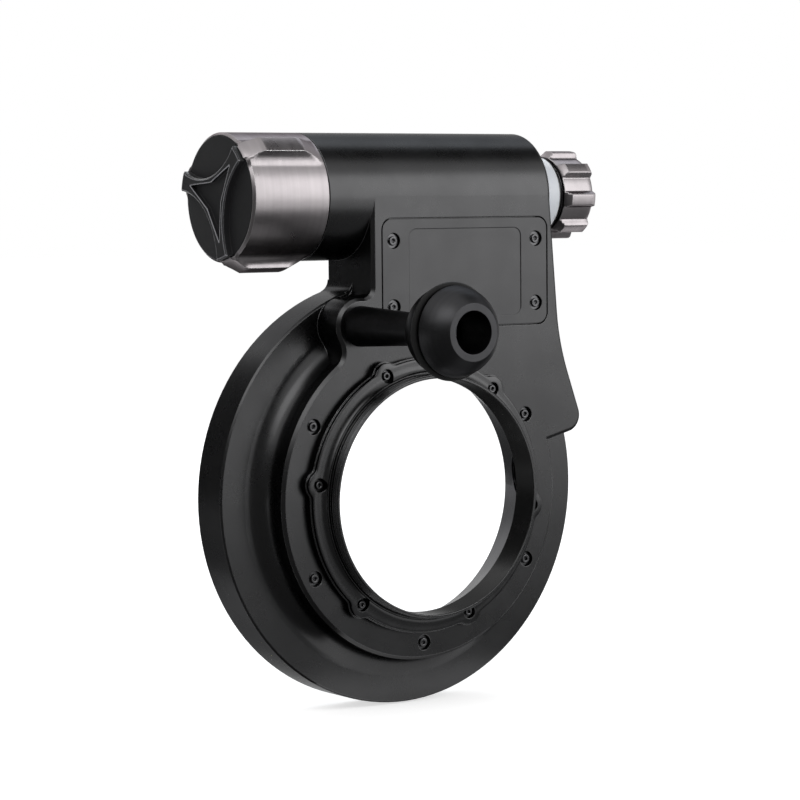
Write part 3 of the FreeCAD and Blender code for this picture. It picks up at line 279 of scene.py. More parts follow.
class Finish:
    """A material under construction: keeps its nodes, links and shader at hand."""

    def __init__(self, name, colour, roughness, metallic=0.0, rim=(1, 1, 1)):
        self.material = bpy.data.materials.new(name)
        self.material.use_nodes = True
        self.nodes = self.material.node_tree.nodes
        self.links = self.material.node_tree.links
        self.shader = self.nodes["Principled BSDF"]
        self.shader.inputs["Base Color"].default_value = (*colour, 1)
        self.shader.inputs["Roughness"].default_value = roughness
        self.shader.inputs["Metallic"].default_value = metallic
        self.shader.inputs["Specular Tint"].default_value = (*rim, 1)
        self.colour = colour
        self.roughness = roughness
        self.place = self.nodes.new("ShaderNodeTexCoord").outputs["Object"]
        self.normal = self.bend = self.base = None

    def math(self, operation, first, second=None):
        """Result of one sum on numbers or sockets."""
        node = self.nodes.new("ShaderNodeMath")
        node.operation = operation
        for socket, value in zip(node.inputs, (first, second)):
            if isinstance(value, (int, float)):
                socket.default_value = value
            elif value is not None:
                self.links.new(value, socket)
        return node.outputs[0]

    def noise(self, scale, detail=2.0, vector=None):
        """Cloudy pattern, mostly from 0.3 to 0.7, at the piece's own coordinates or at those given."""
        node = self.nodes.new("ShaderNodeTexNoise")
        node.inputs["Scale"].default_value = scale
        node.inputs["Detail"].default_value = detail
        self.links.new(vector or self.place, node.inputs["Vector"])
        return node.outputs["Fac"]

    def spread(self, value, low, high):
        """Stretch a noise to the range from low to high."""
        node = self.nodes.new("ShaderNodeMapRange")
        node.inputs["From Min"].default_value = 0.3
        node.inputs["From Max"].default_value = 0.7
        node.inputs["To Min"].default_value = low
        node.inputs["To Max"].default_value = high
        self.links.new(value, node.inputs["Value"])
        return node.outputs["Result"]

    def split(self, vector):
        """Outputs X, Y and Z of a vector."""
        node = self.nodes.new("ShaderNodeSeparateXYZ")
        self.links.new(vector, node.inputs[0])
        return node.outputs

    def turned_place(self, axis, centre):
        """Coordinates that are the same all round an axis: (along, radius, 0)."""
        place = self.split(self.place)
        along, first, second = {"X": ("X", "Y", "Z"), "Y": ("Y", "X", "Z")}[axis]
        squares = []
        for letter in (first, second):
            offset = self.math("SUBTRACT", place[letter], getattr(centre, letter.lower()))
            squares.append(self.math("POWER", offset, 2.0))
        radius = self.math("SQRT", self.math("ADD", squares[0], squares[1]))
        join = self.nodes.new("ShaderNodeCombineXYZ")
        self.links.new(place[along], join.inputs["X"])
        self.links.new(radius, join.inputs["Y"])
        return join.outputs[0]

    def soften_edges(self, radius):
        """Round the shading along the edges, and keep how far it bends from the flat surface."""
        node = self.nodes.new("ShaderNodeBevel")
        node.samples = 6
        node.inputs["Radius"].default_value = radius
        self.normal = node.outputs["Normal"]
        self.links.new(self.normal, self.shader.inputs["Normal"])
        compare = self.nodes.new("ShaderNodeVectorMath")
        compare.operation = "DOT_PRODUCT"
        self.links.new(self.normal, compare.inputs[0])
        self.links.new(self.nodes.new("ShaderNodeNewGeometry").outputs["Normal"], compare.inputs[1])
        self.bend = self.math("MULTIPLY", self.math("SUBTRACT", 1.0, compare.outputs["Value"]), 4.0)
        return self

    def bump(self, height, distance):
        """Relief of a distance in metres, on top of the bends that are there."""
        node = self.nodes.new("ShaderNodeBump")
        node.inputs["Distance"].default_value = distance
        node.inputs["Strength"].default_value = 1.0
        self.links.new(height, node.inputs["Height"])
        if self.normal:
            self.links.new(self.normal, node.inputs["Normal"])
        self.normal = node.outputs["Normal"]
        self.links.new(self.normal, self.shader.inputs["Normal"])
        return self

    def mix_colours(self, factor, first, second):
        """Make the base colour a mix of two colours, each a socket or three numbers."""
        node = self.nodes.new("ShaderNodeMix")
        node.data_type = "RGBA"
        self.links.new(factor, node.inputs[FACTOR])
        for socket, colour in ((node.inputs[FIRST], first), (node.inputs[SECOND], second)):
            if isinstance(colour, bpy.types.NodeSocket):
                self.links.new(colour, socket)
            else:
                socket.default_value = (*colour, 1)
        self.base = node.outputs[MIXED]
        self.links.new(self.base, self.shader.inputs["Base Color"])
        return self

    def scaled_colour(self, factor):
        """The finish's own colour, lighter or darker, and no lighter than white."""
        return tuple(min(1.0, part * factor) for part in self.colour)

    def vary_colour(self, value, darker, lighter):
        """Let the colour drift between a darker and a lighter one."""
        return self.mix_colours(self.spread(value, 0.0, 1.0), self.scaled_colour(darker),
                                self.scaled_colour(lighter))

    def wear_and_highlight_edges(self, lighter, where=None):
        """Lighter colour along the edges: partly worn skin, partly a painted highlight where they would catch the
        light.
        """
        amount = self.math("MULTIPLY", self.bend, where) if where else self.bend
        return self.mix_colours(amount, self.base, self.scaled_colour(lighter))

    def paint_bore(self, axis, centre, radius, colour):
        """Another colour nearer to an axis than a radius."""
        reach = self.split(self.turned_place(axis, centre))["Y"]
        return self.mix_colours(self.math("LESS_THAN", reach, radius), self.base, colour)

    def vary_roughness(self, value, change):
        """Let the roughness drift by a change up and down."""
        self.links.new(self.spread(value, self.roughness - change, self.roughness + change),
                       self.shader.inputs["Roughness"])
        return self


# %% [markdown]
# Black anodising is a metal whose skin sends back little light, and hardly more at a shallow angle.
# A plain black plastic would shine white all along the outline. A metal with a dark colour and a dark
# edge tint keeps the outline black, as on the real housing.

# %% Black finishes
EDGE = 0.25 * MM
GRAIN, GRAIN_DEPTH = 3500.0, 0.004 * MM
LATHE_LINES, LATHE_DEPTH = 9000.0, 0.002 * MM
DARK_RIM = (0.4, 0.4, 0.4)


def blasted(name, colour, roughness, metallic=0.0, rim=(1, 1, 1), edge_wear_and_highlight=1.0, edge=EDGE):
    """Anodised or moulded surface with the fine grain of bead blasting."""
    finish = Finish(name, colour, roughness, metallic, rim).soften_edges(edge)
    finish.bump(finish.noise(GRAIN, 3.0), GRAIN_DEPTH)
    # The edges are painted lighter: partly worn skin, partly a painted highlight.
    finish.vary_colour(finish.noise(60.0, 4.0), 0.93, 1.08).wear_and_highlight_edges(edge_wear_and_highlight)
    finish.vary_roughness(finish.noise(140.0, 5.0), 0.02)
    return finish


def turned(name, colour, roughness, metallic, axis, centre, rim=(1, 1, 1), edge_wear_and_highlight=1.0):
    """Metal with the rings that a lathe leaves about an axis."""
    finish = Finish(name, colour, roughness, metallic, rim).soften_edges(EDGE)
    place = finish.turned_place(axis, centre)
    finish.bump(finish.noise(LATHE_LINES, 2.0, place), LATHE_DEPTH)
    finish.bump(finish.noise(GRAIN, 2.0), LATHE_DEPTH)
    # The edges are painted lighter: partly worn skin, partly a painted highlight.
    finish.vary_colour(finish.noise(LATHE_LINES / 12, 3.0, place), 0.94, 1.06).wear_and_highlight_edges(edge_wear_and_highlight)
    finish.vary_roughness(finish.noise(220.0, 4.0), 0.03)
    return finish


BLACK = (0.055, 0.055, 0.056)
BORE_WALL = 34.02 * MM
CAP_PLATEAU = -57.9 * MM
# The last number of each black is how much lighter its edges are painted: partly worn skin, partly painted
# highlight.
housing_black = blasted("housing_black", BLACK, 0.28, 1.0, DARK_RIM, 4.0)
plate_black = blasted("plate_black", BLACK, 0.3, 1.0, DARK_RIM, 1.6)
ring_black = turned("ring_black", BLACK, 0.26, 1.0, "Y", LENS, DARK_RIM, 3.5)
ring_black.paint_bore("Y", LENS, BORE_WALL, (0.035, 0.035, 0.035))
liner_black = turned("liner_black", (0.1, 0.1, 0.104), 0.22, 1.0, "Y", LENS, DARK_RIM)
ball_black = turned("ball_black", (0.045, 0.045, 0.047), 0.36, 1.0, "Y", BALL, DARK_RIM, 2.0)
collar_black = turned("collar_black", (0.03, 0.03, 0.031), 0.26, 1.0, "X", TUBE, DARK_RIM)
screw_black = blasted("screw_black", (0.09, 0.09, 0.093), 0.28, 1.0, DARK_RIM, 3.5)

# On the cap's end only the raised plateau's edges are painted bright: a painted highlight, and partly worn skin,
# because hands meet it first.
end_black = blasted("end_black", (0.018, 0.018, 0.019), 0.42, 0.0, DARK_RIM, edge=0.5 * MM)
on_plateau = end_black.math("LESS_THAN", end_black.split(end_black.place)["X"], CAP_PLATEAU)
end_black.wear_and_highlight_edges(45.0, on_plateau)
print("black finishes ready")

# %% Silver finishes
SILVER = (0.29, 0.27, 0.276)
# The silver's edges are painted much lighter: a painted highlight, partly worn skin.
silver_tube = turned("silver_tube", SILVER, 0.3, 1.0, "X", TUBE, (0.22, 0.21, 0.215), 7.0)
steel_ball = turned("steel_ball_screw", (0.9, 0.89, 0.87), 0.6, 1.0, "Y", BALL)
steel_inner = blasted("steel_inner", (0.55, 0.54, 0.52), 0.35, 1.0)
brass = blasted("contact_brass", (0.75, 0.55, 0.25), 0.3, 1.0)

# %% Rubber, plastics and boards
rubber = blasted("rubber_black", (0.012, 0.012, 0.012), 0.65, 0.0, (0.3, 0.3, 0.3))
chip_black = blasted("chip_black", (0.03, 0.03, 0.03), 0.5)
board_green = blasted("board_green", (0.02, 0.12, 0.05), 0.4)
board_white = blasted("board_white", (0.8, 0.8, 0.78), 0.4)
wire_red = blasted("wire_red", (0.5, 0.02, 0.02), 0.4)
cell_wrap = blasted("cell_wrap", (0.03, 0.09, 0.3), 0.3)
cool_chip = blasted("cool_chip", (0.85, 0.8, 0.35), 0.3)
warm_chip = blasted("warm_chip", (0.85, 0.5, 0.1), 0.3)


def frosted(name, colour, roughness, transmission, scatter):
    """Translucent plastic that spreads the light behind it."""
    finish = Finish(name, colour, roughness)
    finish.shader.inputs["Transmission Weight"].default_value = transmission
    finish.shader.inputs["Subsurface Weight"].default_value = scatter
    finish.shader.inputs["Subsurface Radius"].default_value = (1.0, 1.0, 1.0)
    finish.shader.inputs["Subsurface Scale"].default_value = 0.002
    finish.bump(finish.noise(2500.0, 3.0), GRAIN_DEPTH)
    finish.vary_colour(finish.noise(90.0, 3.0), 0.97, 1.02)
    return finish


window_frost = frosted("window_frost", (0.9, 0.9, 0.88), 0.32, 0.85, 0.0)
ring_frost = frosted("ring_frost", (0.8, 0.83, 0.88), 0.35, 0.0, 0.6)
print("finishes made:", len(bpy.data.materials))

# %% Every solid gets its finish
FINISHES = {
    "housing": housing_black, "cover_plate": plate_black, "mount_ring": ring_black, "bore_liner": liner_black,
    "bezel_ring": ring_black, "ball_stalk": ball_black, "ball_screw": steel_ball, "cap_end": end_black,
    "collar": collar_black, "cap_sleeve": silver_tube, "knob": silver_tube, "knob_shaft": screw_black,
    "encoder_rotor": steel_inner, "encoder_body": steel_inner, "cap_spring": steel_inner,
    "board_screws": steel_inner, "cap_contact": brass, "positive_contact": brass,
    "mount_ring_screws": screw_black, "housing_screws": screw_black, "cover_screws": screw_black,
    "ball_seal": rubber, "cap_seals": rubber, "cover_gasket": rubber, "window_inner_seal": rubber,
    "window_outer_seal": rubber, "shaft_seal": rubber, "front_window": window_frost,
    "light_ring": ring_frost, "led_board": board_white, "status_board": board_green,
    "driver_board": board_green, "contact_board": board_green, "driver_parts": chip_black,
    "cool_leds": cool_chip, "warm_leds": warm_chip, "status_leds": cool_chip, "led_leads": wire_red,
    "battery_lead": wire_red, "encoder_lead": wire_red, "battery_cell": cell_wrap,
}
for node, finish in FINISHES.items():
    for slot in frame["nodes"][node].material_slots:
        slot.material = finish.material
print("solids without a finish:", sorted(set(frame["nodes"]) - set(FINISHES)))

# %% [markdown]
# The knob and the battery cap are turned on a lathe and then milled. A lathe piece is one outline
# swept about its axis, so both come from the same helper; a small rule per piece then moves each
# point in or out, for the knob's flutes and for the cap's ribs with their hollow flanks. Cutting with
# booleans would also work, but leaves long thin faces that shade badly.

# %% Helper for turned pieces
SHARP_ANGLE = math.radians(28.0)
SWEEP_STEPS = 720


def clean_mesh(name, vertices, faces, merge=1e-6):
    """Mesh with merged seams, no empty faces and all faces outward."""
    mesh = bpy.data.meshes.new(name)
    mesh.from_pydata(vertices, [], faces)
    shape = bmesh.new()
    shape.from_mesh(mesh)
    bmesh.ops.remove_doubles(shape, verts=shape.verts, dist=merge)
    bmesh.ops.dissolve_degenerate(shape, edges=shape.edges, dist=1e-7)
    bmesh.ops.recalc_face_normals(shape, faces=shape.faces)
    shape.to_mesh(mesh)
    shape.free()
    return mesh


def show(name, mesh, finish, body, replaced):
    """Shade a finished mesh smooth between its sharp edges, hang it on its body and hide the solid it replaces."""
    mesh.materials.clear()
    mesh.materials.append(finish.material)
    for polygon in mesh.polygons:
        polygon.use_smooth = True
    mesh.set_sharp_from_angle(angle=SHARP_ANGLE)
    piece = bpy.data.objects.new(name, mesh)
    scene.collection.objects.link(piece)
    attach(piece, body)
    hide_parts(replaced)
    print(name, "faces:", len(mesh.polygons))


def about_tube(along, across, up):
    """Place in metres of a point in mm that goes round the tube's axis."""
    return Vector((along * MM, TUBE.y - across * MM, TUBE.z + up * MM))


def about_lens(along, across, up):
    """Place in metres of a point in mm that goes round the lens axis."""
    return Vector((up * MM, along * MM, across * MM))


def swept(outline, steps, rule, about):
    """Points and faces of a closed outline of (along, radius) in mm, swept about an axis."""
    vertices, faces = [], []
    count = len(outline)
    for k in range(steps):
        angle = 360.0 * k / steps
        for along, radius in outline:
            along, radius = rule(angle, along, radius)
            vertices.append(about(along, radius * math.sin(math.radians(angle)),
                                  radius * math.cos(math.radians(angle))))
    for k in range(steps):
        for j in range(count):
            here, there = k * count, ((k + 1) % steps) * count
            faces.append((here + j, here + (j + 1) % count, there + (j + 1) % count, there + j))
    return vertices, faces


def away(angle, first, pitch):
    """Degrees from the nearest of the places first, first + pitch and so on."""
    return abs((angle - first + pitch / 2) % pitch - pitch / 2)


# %% Knob
KNOB_LEFT, KNOB_RIGHT, KNOB_CREST, KNOB_FLOOR = 57.5, 68.2, 13.2, 11.5
SHAFT_WAY, SHAFT_END, HOLLOW, HOLLOW_FLOOR, DISH = 2.05, 66.2, 10.5, 58.3, 68.05
FLUTE_FIRST, FLUTE_PITCH, FLUTE_FLOOR, FLUTE_MOUTH = 29.5, 45.0, 9.5, 16.0
knob_outline = [(HOLLOW_FLOOR, SHAFT_WAY), (HOLLOW_FLOOR, HOLLOW), (KNOB_LEFT, HOLLOW), (KNOB_LEFT, 11.3),
                (57.62, 11.55), (58.3, 12.3), (59.0, 13.02), (59.25, KNOB_CREST)]
knob_outline += [(59.25 + 1.4 * k, KNOB_CREST) for k in range(1, 6)]
knob_outline += [(67.6, KNOB_CREST), (67.85, 13.1), (DISH, 12.9), (KNOB_RIGHT, 12.6), (KNOB_RIGHT, 11.2),
                 (KNOB_RIGHT, 9.4), (DISH, 9.2), (DISH, 0.0), (SHAFT_END, 0.0), (SHAFT_END, SHAFT_WAY)]


def flute(angle, along, radius):
    """Let the radius reach no further than the floor and the sloping sides of the flutes."""
    part = (away(angle, FLUTE_FIRST, FLUTE_PITCH) - FLUTE_FLOOR) / (FLUTE_MOUTH - FLUTE_FLOOR)
    part = min(max(part, 0.0), 1.0)
    rise = part * part * (3 - 2 * part)
    end = 0.25 * max(0.0, 1.0 - (KNOB_RIGHT - along) / 0.6)
    return along, min(radius, KNOB_FLOOR - end * (1 - rise) + (KNOB_CREST - KNOB_FLOOR) * rise)


fluted = clean_mesh("fluted_knob", *swept(knob_outline, SWEEP_STEPS, flute, about_tube))
show("fluted_knob", fluted, silver_tube, "knob", "knob")

# %% Outline of the battery cap
# The sleeve stays a hundredth of a millimetre inside the solid's, so the finished model keeps its box.
CAP_RIGHT, CAP_LEFT, CAP_OUTER = -31.0, -56.0, 18.29
NECK_END, NECK_BORE, CELL_ROOM, CELL_ROOM_END = -19.0, 13.6, 16.0, -33.5
GROOVES, GROOVE_WIDTH, GROOVE_FLOOR = (-25.6, -28.2), 1.4, 14.15
DISC_SEAT, DISC_ROOM, CHAMFER = -53.5, 17.55, -55.3
THREAD_ROOT, THREAD_CREST, THREAD_PITCH = 14.85, 15.4, 2.0
cap_outline = [(NECK_END, NECK_BORE), (NECK_END, 14.8)]
cap_outline += [(-19.2 - 0.25 * k, THREAD_CREST) for k in range(25)]
for start in GROOVES:
    cap_outline += [(start, THREAD_CREST), (start, GROOVE_FLOOR), (start - GROOVE_WIDTH, GROOVE_FLOOR),
                    (start - GROOVE_WIDTH, THREAD_CREST)]
cap_outline += [(CAP_RIGHT, THREAD_CREST), (CAP_RIGHT, 18.1), (-31.2, CAP_OUTER), (-31.4, CAP_OUTER)]
cap_outline += [(-31.4 - k, CAP_OUTER) for k in range(1, 24)]
cap_outline += [(CHAMFER, CAP_OUTER), (CAP_LEFT, 17.6), (CAP_LEFT, DISC_ROOM), (DISC_SEAT, DISC_ROOM),
                (DISC_SEAT, CELL_ROOM), (CELL_ROOM_END, CELL_ROOM), (CELL_ROOM_END, NECK_BORE)]
print("cap outline has", len(cap_outline), "points")

# %% Battery cap
RIB_FIRST, RIB_PITCH, RIB_HALF, RIB_HEIGHT, RIB_HOLLOW = 45.8, 120.0, 7.25, 3.1, 3.3
RIB_TIP, RIB_TIP_RADIUS, RIB_CHAMFER_SHARE = -56.9, 17.95, 0.6
RIB_RAMP = [(-31.4, 0.0), (-38.4, RIB_HEIGHT), (-51.5, RIB_HEIGHT), (RIB_TIP, 0.0)]


def ramp(along):
    """Height of a rib's back over the sleeve at a place along it."""
    for (right_x, right_h), (left_x, left_h) in zip(RIB_RAMP, RIB_RAMP[1:]):
        if left_x <= along <= right_x:
            return right_h + (left_h - right_h) * (right_x - along) / (right_x - left_x)
    return 0.0


def cap_rule(angle, along, radius):
    """Screw thread on the neck, and three ribs with hollow flanks on the sleeve."""
    if GROOVES[0] + 0.3 < along < NECK_END - 0.1 and radius > THREAD_ROOT:
        wave = abs(((along / THREAD_PITCH + angle / 360.0) % 1.0) * 2 - 1)
        return along, THREAD_ROOT + (THREAD_CREST - THREAD_ROOT) * min(1.0, 1.6 * wave)
    if along > RIB_RAMP[0][0] or radius <= DISC_ROOM:
        return along, radius
    side = max(0.0, away(angle, RIB_FIRST, RIB_PITCH) - RIB_HALF) * math.pi / 180 * CAP_OUTER
    if side >= RIB_HOLLOW:
        return along, radius
    flank = RIB_HOLLOW - math.sqrt(RIB_HOLLOW ** 2 - (RIB_HOLLOW - side) ** 2)
    weight = min(1.0, flank / RIB_HEIGHT)
    if along <= CHAMFER:
        tip = RIB_TIP if radius < CAP_OUTER else CHAMFER + (RIB_TIP - CHAMFER) * RIB_CHAMFER_SHARE
        along += (tip - along) * weight
        radius += (max(radius, RIB_TIP_RADIUS) - radius) * weight
    return along, radius + min(ramp(along), flank)


ribbed = clean_mesh("ribbed_cap", *swept(cap_outline, SWEEP_STEPS, cap_rule, about_tube))
show("ribbed_cap", ribbed, silver_tube, "cap", "cap_sleeve")

# %% [markdown]
# Screws of one size are one screw shown many times. Geometry Nodes place it: points on a circle or
# on a small grid carry an instance each, and the sizes are inputs of the tree. Copying the mesh by
# hand would work as well, but then a new circle means new numbers for every copy.

# %% One socket screw
def socket_screw(name, head, height, shank, length):
    """Screw from sizes in mm: head face at y = 0, shank towards +Y, hexagon socket with a lead-in."""
    sides = 24
    across, face, collar, end = head * 0.28, head * 0.6, height * 0.7, height + length
    rings = [("hex", 0.0, height * 0.62 + head * 0.1), ("hex", across, height * 0.6),
             ("hex", across, head * 0.06), ("round", across * 1.25, 0.0), ("round", face * 0.88, 0.0),
             ("round", face * 0.96, head * 0.04), ("round", face, head * 0.12), ("round", face, collar),
             ("round", head, collar), ("round", head, height), ("round", shank, height),
             ("round", shank, height + length * 0.92), ("round", shank * 0.7, end), ("round", 0.0, end)]
    vertices, faces = [], []
    for kind, radius, depth in rings:
        for k in range(sides):
            angle = 2 * math.pi * k / sides
            reach = radius
            if kind == "hex":
                reach = radius * math.cos(math.pi / 6) / math.cos((angle % (math.pi / 3)) - math.pi / 6)
            vertices.append((reach * math.cos(angle) * MM, depth * MM, reach * math.sin(angle) * MM))
    for k in range(len(rings) - 1):
        for j in range(sides):
            faces.append((k * sides + j, k * sides + (j + 1) % sides, (k + 1) * sides + (j + 1) % sides,
                          (k + 1) * sides + j))
    return bpy.data.objects.new(name, clean_mesh(name, vertices, faces, merge=1e-7))


# %% Helper for trees
QUARTER = math.pi / 2


class Tree:
    """A Geometry Nodes tree under construction."""

    def __init__(self, name, sizes):
        self.group = bpy.data.node_groups.new(name, "GeometryNodeTree")
        self.group.interface.new_socket("Geometry", in_out="OUTPUT", socket_type="NodeSocketGeometry")
        self.names = {}
        for label, kind in sizes:
            socket = self.group.interface.new_socket(label, in_out="INPUT", socket_type=f"NodeSocket{kind}")
            self.names[label] = socket.identifier
        self.inputs = self.group.nodes.new("NodeGroupInput").outputs

    def add(self, kind, **wires):
        """New node with its sockets wired or set; an underscore stands for a space."""
        node = self.group.nodes.new(f"GeometryNode{kind}")
        for socket, value in wires.items():
            self.wire(value, node.inputs[socket.replace("_", " ")])
        return node

    def wire(self, value, socket):
        """Link a socket to another, or set its number."""
        if isinstance(value, bpy.types.NodeSocket):
            self.group.links.new(value, socket)
        else:
            socket.default_value = value

    def place_screws(self, points, move):
        """Stand flat points up, move them, and show a screw on each."""
        upright = self.add("Transform", Geometry=points, Rotation=(QUARTER, 0, 0), Translation=move)
        screw = self.add("ObjectInfo", Object=self.inputs["Screw"])
        placed = self.add("InstanceOnPoints", Points=upright.outputs[0], Instance=screw.outputs["Geometry"])
        self.end(placed.outputs[0])

    def end(self, geometry):
        """Realize what was placed, give it its material and send it out."""
        real = self.add("RealizeInstances", Geometry=geometry)
        painted = self.add("SetMaterial", Geometry=real.outputs[0], Material=self.inputs["Material"])
        output = self.group.nodes.new("NodeGroupOutput")
        self.group.links.new(painted.outputs[0], output.inputs[0])

    def grow(self, name, **sizes):
        """Plain mesh of the tree's result for the given sizes."""
        holder = bpy.data.objects.new(name, bpy.data.meshes.new(name))
        scene.collection.objects.link(holder)
        modifier = holder.modifiers.new(name, "NODES")
        modifier.node_group = self.group
        for label, value in sizes.items():
            modifier[self.names[label.replace("_", " ")]] = value
        graph = bpy.context.evaluated_depsgraph_get()
        mesh = bpy.data.meshes.new_from_object(holder.evaluated_get(graph))
        bpy.data.objects.remove(holder)
        mesh.name = name
        return mesh


# %% Trees that place screws
on_circle = Tree("screws_on_circle", [("Screw", "Object"), ("Count", "Int"), ("Radius", "Float"),
                                      ("First Angle", "Vector"), ("Depth", "Vector"),
                                      ("Material", "Material")])
circle = on_circle.add("MeshCircle", Vertices=on_circle.inputs["Count"], Radius=on_circle.inputs["Radius"])
started = on_circle.add("Transform", Geometry=circle.outputs[0], Rotation=on_circle.inputs["First Angle"])
on_circle.place_screws(started.outputs[0], on_circle.inputs["Depth"])

on_grid = Tree("screws_on_grid", [("Screw", "Object"), ("Width", "Float"), ("Height", "Float"),
                                  ("Middle", "Vector"), ("Material", "Material")])
grid = on_grid.add("MeshGrid", Size_X=on_grid.inputs["Width"], Size_Y=on_grid.inputs["Height"],
                   Vertices_X=2, Vertices_Y=2)
on_grid.place_screws(grid.outputs[0], on_grid.inputs["Middle"])
print("trees:", [group.name for group in bpy.data.node_groups])

# %% Screws of the mount ring, the hub and the cover
SCREW_COUNT = 6
SCREW_CIRCLE, SCREW_FIRST, SCREW_FACE = 37.6, 52.0, -2.8
HUB_CIRCLE, HUB_FIRST, HUB_FACE = 42.9, 30.0, 0.15
COVER_WIDTH, COVER_HEIGHT, COVER_MIDDLE = 50.7, 18.9, (15.85, 0.1, 63.7)


def show_screws(name, tree, screw, replaced, **sizes):
    """Place one screw by a tree and show the set in place of the solid's screws."""
    mesh = tree.grow(name, Screw=screw, Material=screw_black.material, **sizes)
    show(name, mesh, screw_black, "housing", replaced)
    bpy.data.objects.remove(screw)


def circle_sizes(radius, first, face):
    """Inputs of the circle's tree, from sizes in mm and degrees."""
    return {"Count": SCREW_COUNT, "Radius": radius * MM, "First_Angle": (0, 0, math.radians(first)),
            "Depth": (0, face * MM, 0)}


show_screws("ring_socket_screws", on_circle,
            socket_screw("ring_screw", head=1.9, height=1.6, shank=1.0, length=3.2), "mount_ring_screws",
            **circle_sizes(SCREW_CIRCLE, SCREW_FIRST, SCREW_FACE))
show_screws("hub_socket_screws", on_circle,
            socket_screw("hub_screw", head=2.15, height=1.5, shank=1.25, length=3.6), "housing_screws",
            **circle_sizes(HUB_CIRCLE, HUB_FIRST, HUB_FACE))
show_screws("cover_socket_screws", on_grid,
            socket_screw("cover_screw", head=2.15, height=1.0, shank=1.2, length=4.5), "cover_screws",
            Width=COVER_WIDTH * MM, Height=COVER_HEIGHT * MM,
            Middle=tuple(part * MM for part in COVER_MIDDLE))

# %% [markdown]
# The ring screws onto a lens adapter by a fine thread on its spigot. A thread is a ridge wound along
# a spiral, so a spiral curve is given a small round section. The ring itself is one more outline
# swept round, now about the lens axis, whose wall swells at each screw, and six seats are cut into
# it. The crests of the thread stand where the solid's wall is.

# %% Thread on the spigot
SPIGOT_CREST, SPIGOT_ROOT, RIDGE, PITCH = 35.1, 34.75, 0.3, 0.75
THREAD_LENGTH, THREAD_START = 2.4, -5.35
winding = Tree("wound_thread", [("Radius", "Float"), ("Turns", "Float"), ("Length", "Float"),
                                ("Ridge", "Float"), ("Start", "Vector"), ("Material", "Material")])
spiral = winding.add("CurveSpiral", Resolution=128, Rotations=winding.inputs["Turns"],
                     Start_Radius=winding.inputs["Radius"], End_Radius=winding.inputs["Radius"],
                     Height=winding.inputs["Length"])
section = winding.add("CurvePrimitiveCircle", Resolution=8, Radius=winding.inputs["Ridge"])
wound = winding.add("CurveToMesh", Curve=spiral.outputs[0], Profile_Curve=section.outputs[0], Fill_Caps=True)
laid = winding.add("Transform", Geometry=wound.outputs[0], Rotation=(QUARTER, 0, 0),
                   Translation=winding.inputs["Start"])
winding.end(laid.outputs[0])
thread_mesh = winding.grow("thread", Radius=(SPIGOT_CREST - RIDGE) * MM, Turns=THREAD_LENGTH / PITCH,
                           Length=THREAD_LENGTH * MM, Ridge=RIDGE * MM, Start=(0, THREAD_START * MM, 0),
                           Material=ring_black.material)
thread_depths = [round(v.co.y / MM, 2) for v in thread_mesh.vertices]
print("thread runs from y", min(thread_depths), "to", max(thread_depths))

# %% Outline of the lobed ring
BORE, FLANGE, FACE, TIER, TIER_WALL = 33.9, 39.8, -3.0, -1.75, 39.45
COVE_START, COVE_MIDDLE, COVE_DEPTH, COVE_WIDTH = -4.2, 37.9, 1.2, 2.3
ring_outline = [(0.4, BORE), (-7.9, BORE), (-8.1, 34.1), (-8.1, 34.55), (-7.9, SPIGOT_ROOT),
                (-4.4, SPIGOT_ROOT), (-4.4, 35.5), (-4.3, 35.6)]
for turn in range(0, 91, 10):
    ring_outline.append((COVE_START + COVE_DEPTH * math.sin(math.radians(turn)),
                         COVE_MIDDLE - COVE_WIDTH * math.cos(math.radians(turn))))
ring_outline += [(FACE, 38.7), (FACE, 39.1), (-2.9, 39.35), (-2.65, TIER_WALL), (TIER, TIER_WALL),
                 (TIER, FLANGE), (-1.2, FLANGE), (-1.0, 39.3), (0.0, 39.3), (0.0, 35.0), (0.4, 35.0)]
print("ring outline has", len(ring_outline), "points")

# %% [markdown]
# A lobe is a circle round its screw, and a hollow circle on each side leads back to the wall. The two
# circles touch, so the angle of the hollow's centre follows from the triangle of three known sides.
# A wave in place of the circles would be simpler, but it makes the lobes too wide and pointed.

# %% Lobed ring
LOBE_PITCH, LOBE, LOBE_ROOT = 60.0, 4.1, 2.4
LOBED_FROM = 38.75
ROOT_AT, SPAN = FLANGE + LOBE_ROOT, LOBE + LOBE_ROOT
root_turn = math.acos((ROOT_AT ** 2 + SCREW_CIRCLE ** 2 - SPAN ** 2) / (2 * ROOT_AT * SCREW_CIRCLE))
share = LOBE / SPAN
touch = math.atan2(ROOT_AT * math.sin(root_turn) * share,
                   SCREW_CIRCLE + (ROOT_AT * math.cos(root_turn) - SCREW_CIRCLE) * share)


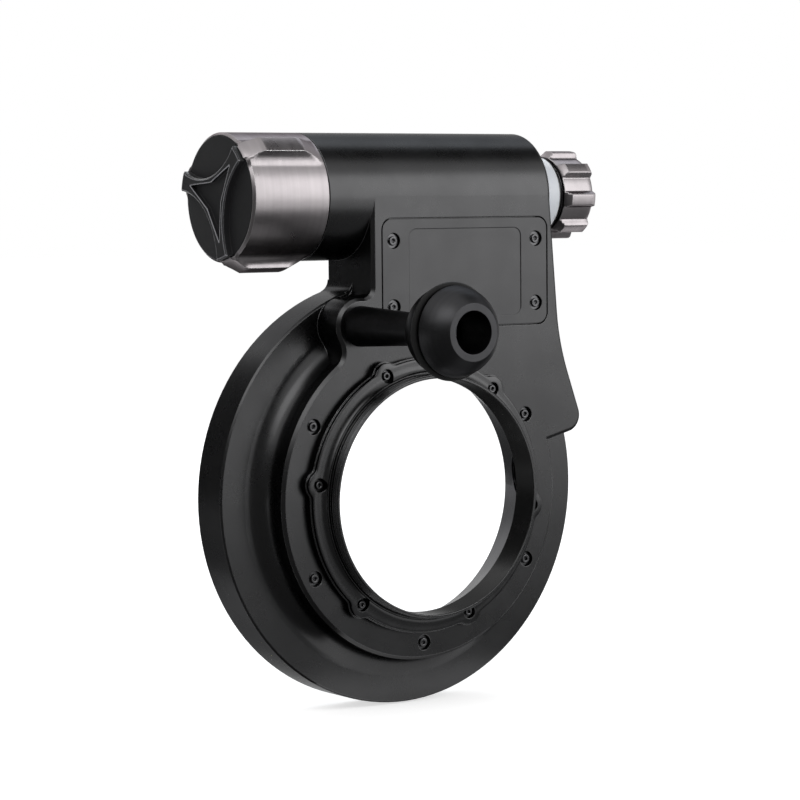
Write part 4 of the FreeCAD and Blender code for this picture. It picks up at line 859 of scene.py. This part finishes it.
def lobes(angle, along, radius):
    """Let the outer wall run round each screw's lobe, with a hollow root on both sides."""
    turn = math.radians(away(angle, SCREW_FIRST, LOBE_PITCH))
    if radius < LOBED_FROM or turn >= root_turn:
        return along, radius
    if turn < touch:
        wall = SCREW_CIRCLE * math.cos(turn) + math.sqrt(LOBE ** 2 - (SCREW_CIRCLE * math.sin(turn)) ** 2)
    else:
        turn -= root_turn
        wall = ROOT_AT * math.cos(turn) - math.sqrt(LOBE_ROOT ** 2 - (ROOT_AT * math.sin(turn)) ** 2)
    return along, radius + wall - FLANGE


def round_rule(angle, along, radius):
    """Leave every point of an outline as it is."""
    return along, radius


def linked(name, mesh):
    """Object for cutting, taken away afterwards."""
    item = bpy.data.objects.new(name, mesh)
    scene.collection.objects.link(item)
    return item


ring_body = linked("ring_body",
                   clean_mesh("ring_body", *swept(ring_outline, SWEEP_STEPS, lobes, about_lens)))
print("ring body faces:", len(ring_body.data.polygons))

# %% Seats for the ring screws
HEAD_WAY, SHANK_WAY, SEAT_MOUTH, SEAT_FLOOR, SEAT_END = 1.98, 1.05, -6.0, -1.2, 1.0
seat_outline = [(SEAT_MOUTH, 0.0), (SEAT_MOUTH, HEAD_WAY), (SEAT_FLOOR, HEAD_WAY),
                (SEAT_FLOOR, SHANK_WAY), (SEAT_END, SHANK_WAY), (SEAT_END, 0.0)]
seat = linked("seat", clean_mesh("seat", *swept(seat_outline, 32, round_rule, about_lens)))
seat_set = on_circle.grow("seat_set", Screw=seat, Material=ring_black.material,
                          **circle_sizes(SCREW_CIRCLE, SCREW_FIRST, 0.0))
tools = linked("seats", seat_set)
cutting = ring_body.modifiers.new("seats", "BOOLEAN")
cutting.object = tools
cutting.solver = "EXACT"
graph = bpy.context.evaluated_depsgraph_get()
cut_ring = bpy.data.meshes.new_from_object(ring_body.evaluated_get(graph))
shape = bmesh.new()
shape.from_mesh(cut_ring)
shape.from_mesh(thread_mesh)
bmesh.ops.recalc_face_normals(shape, faces=shape.faces)
mesh = bpy.data.meshes.new("threaded_ring")
shape.to_mesh(mesh)
shape.free()
for helper in (ring_body, seat, tools):
    bpy.data.objects.remove(helper)
show("threaded_ring", mesh, ring_black, "housing", "mount_ring")
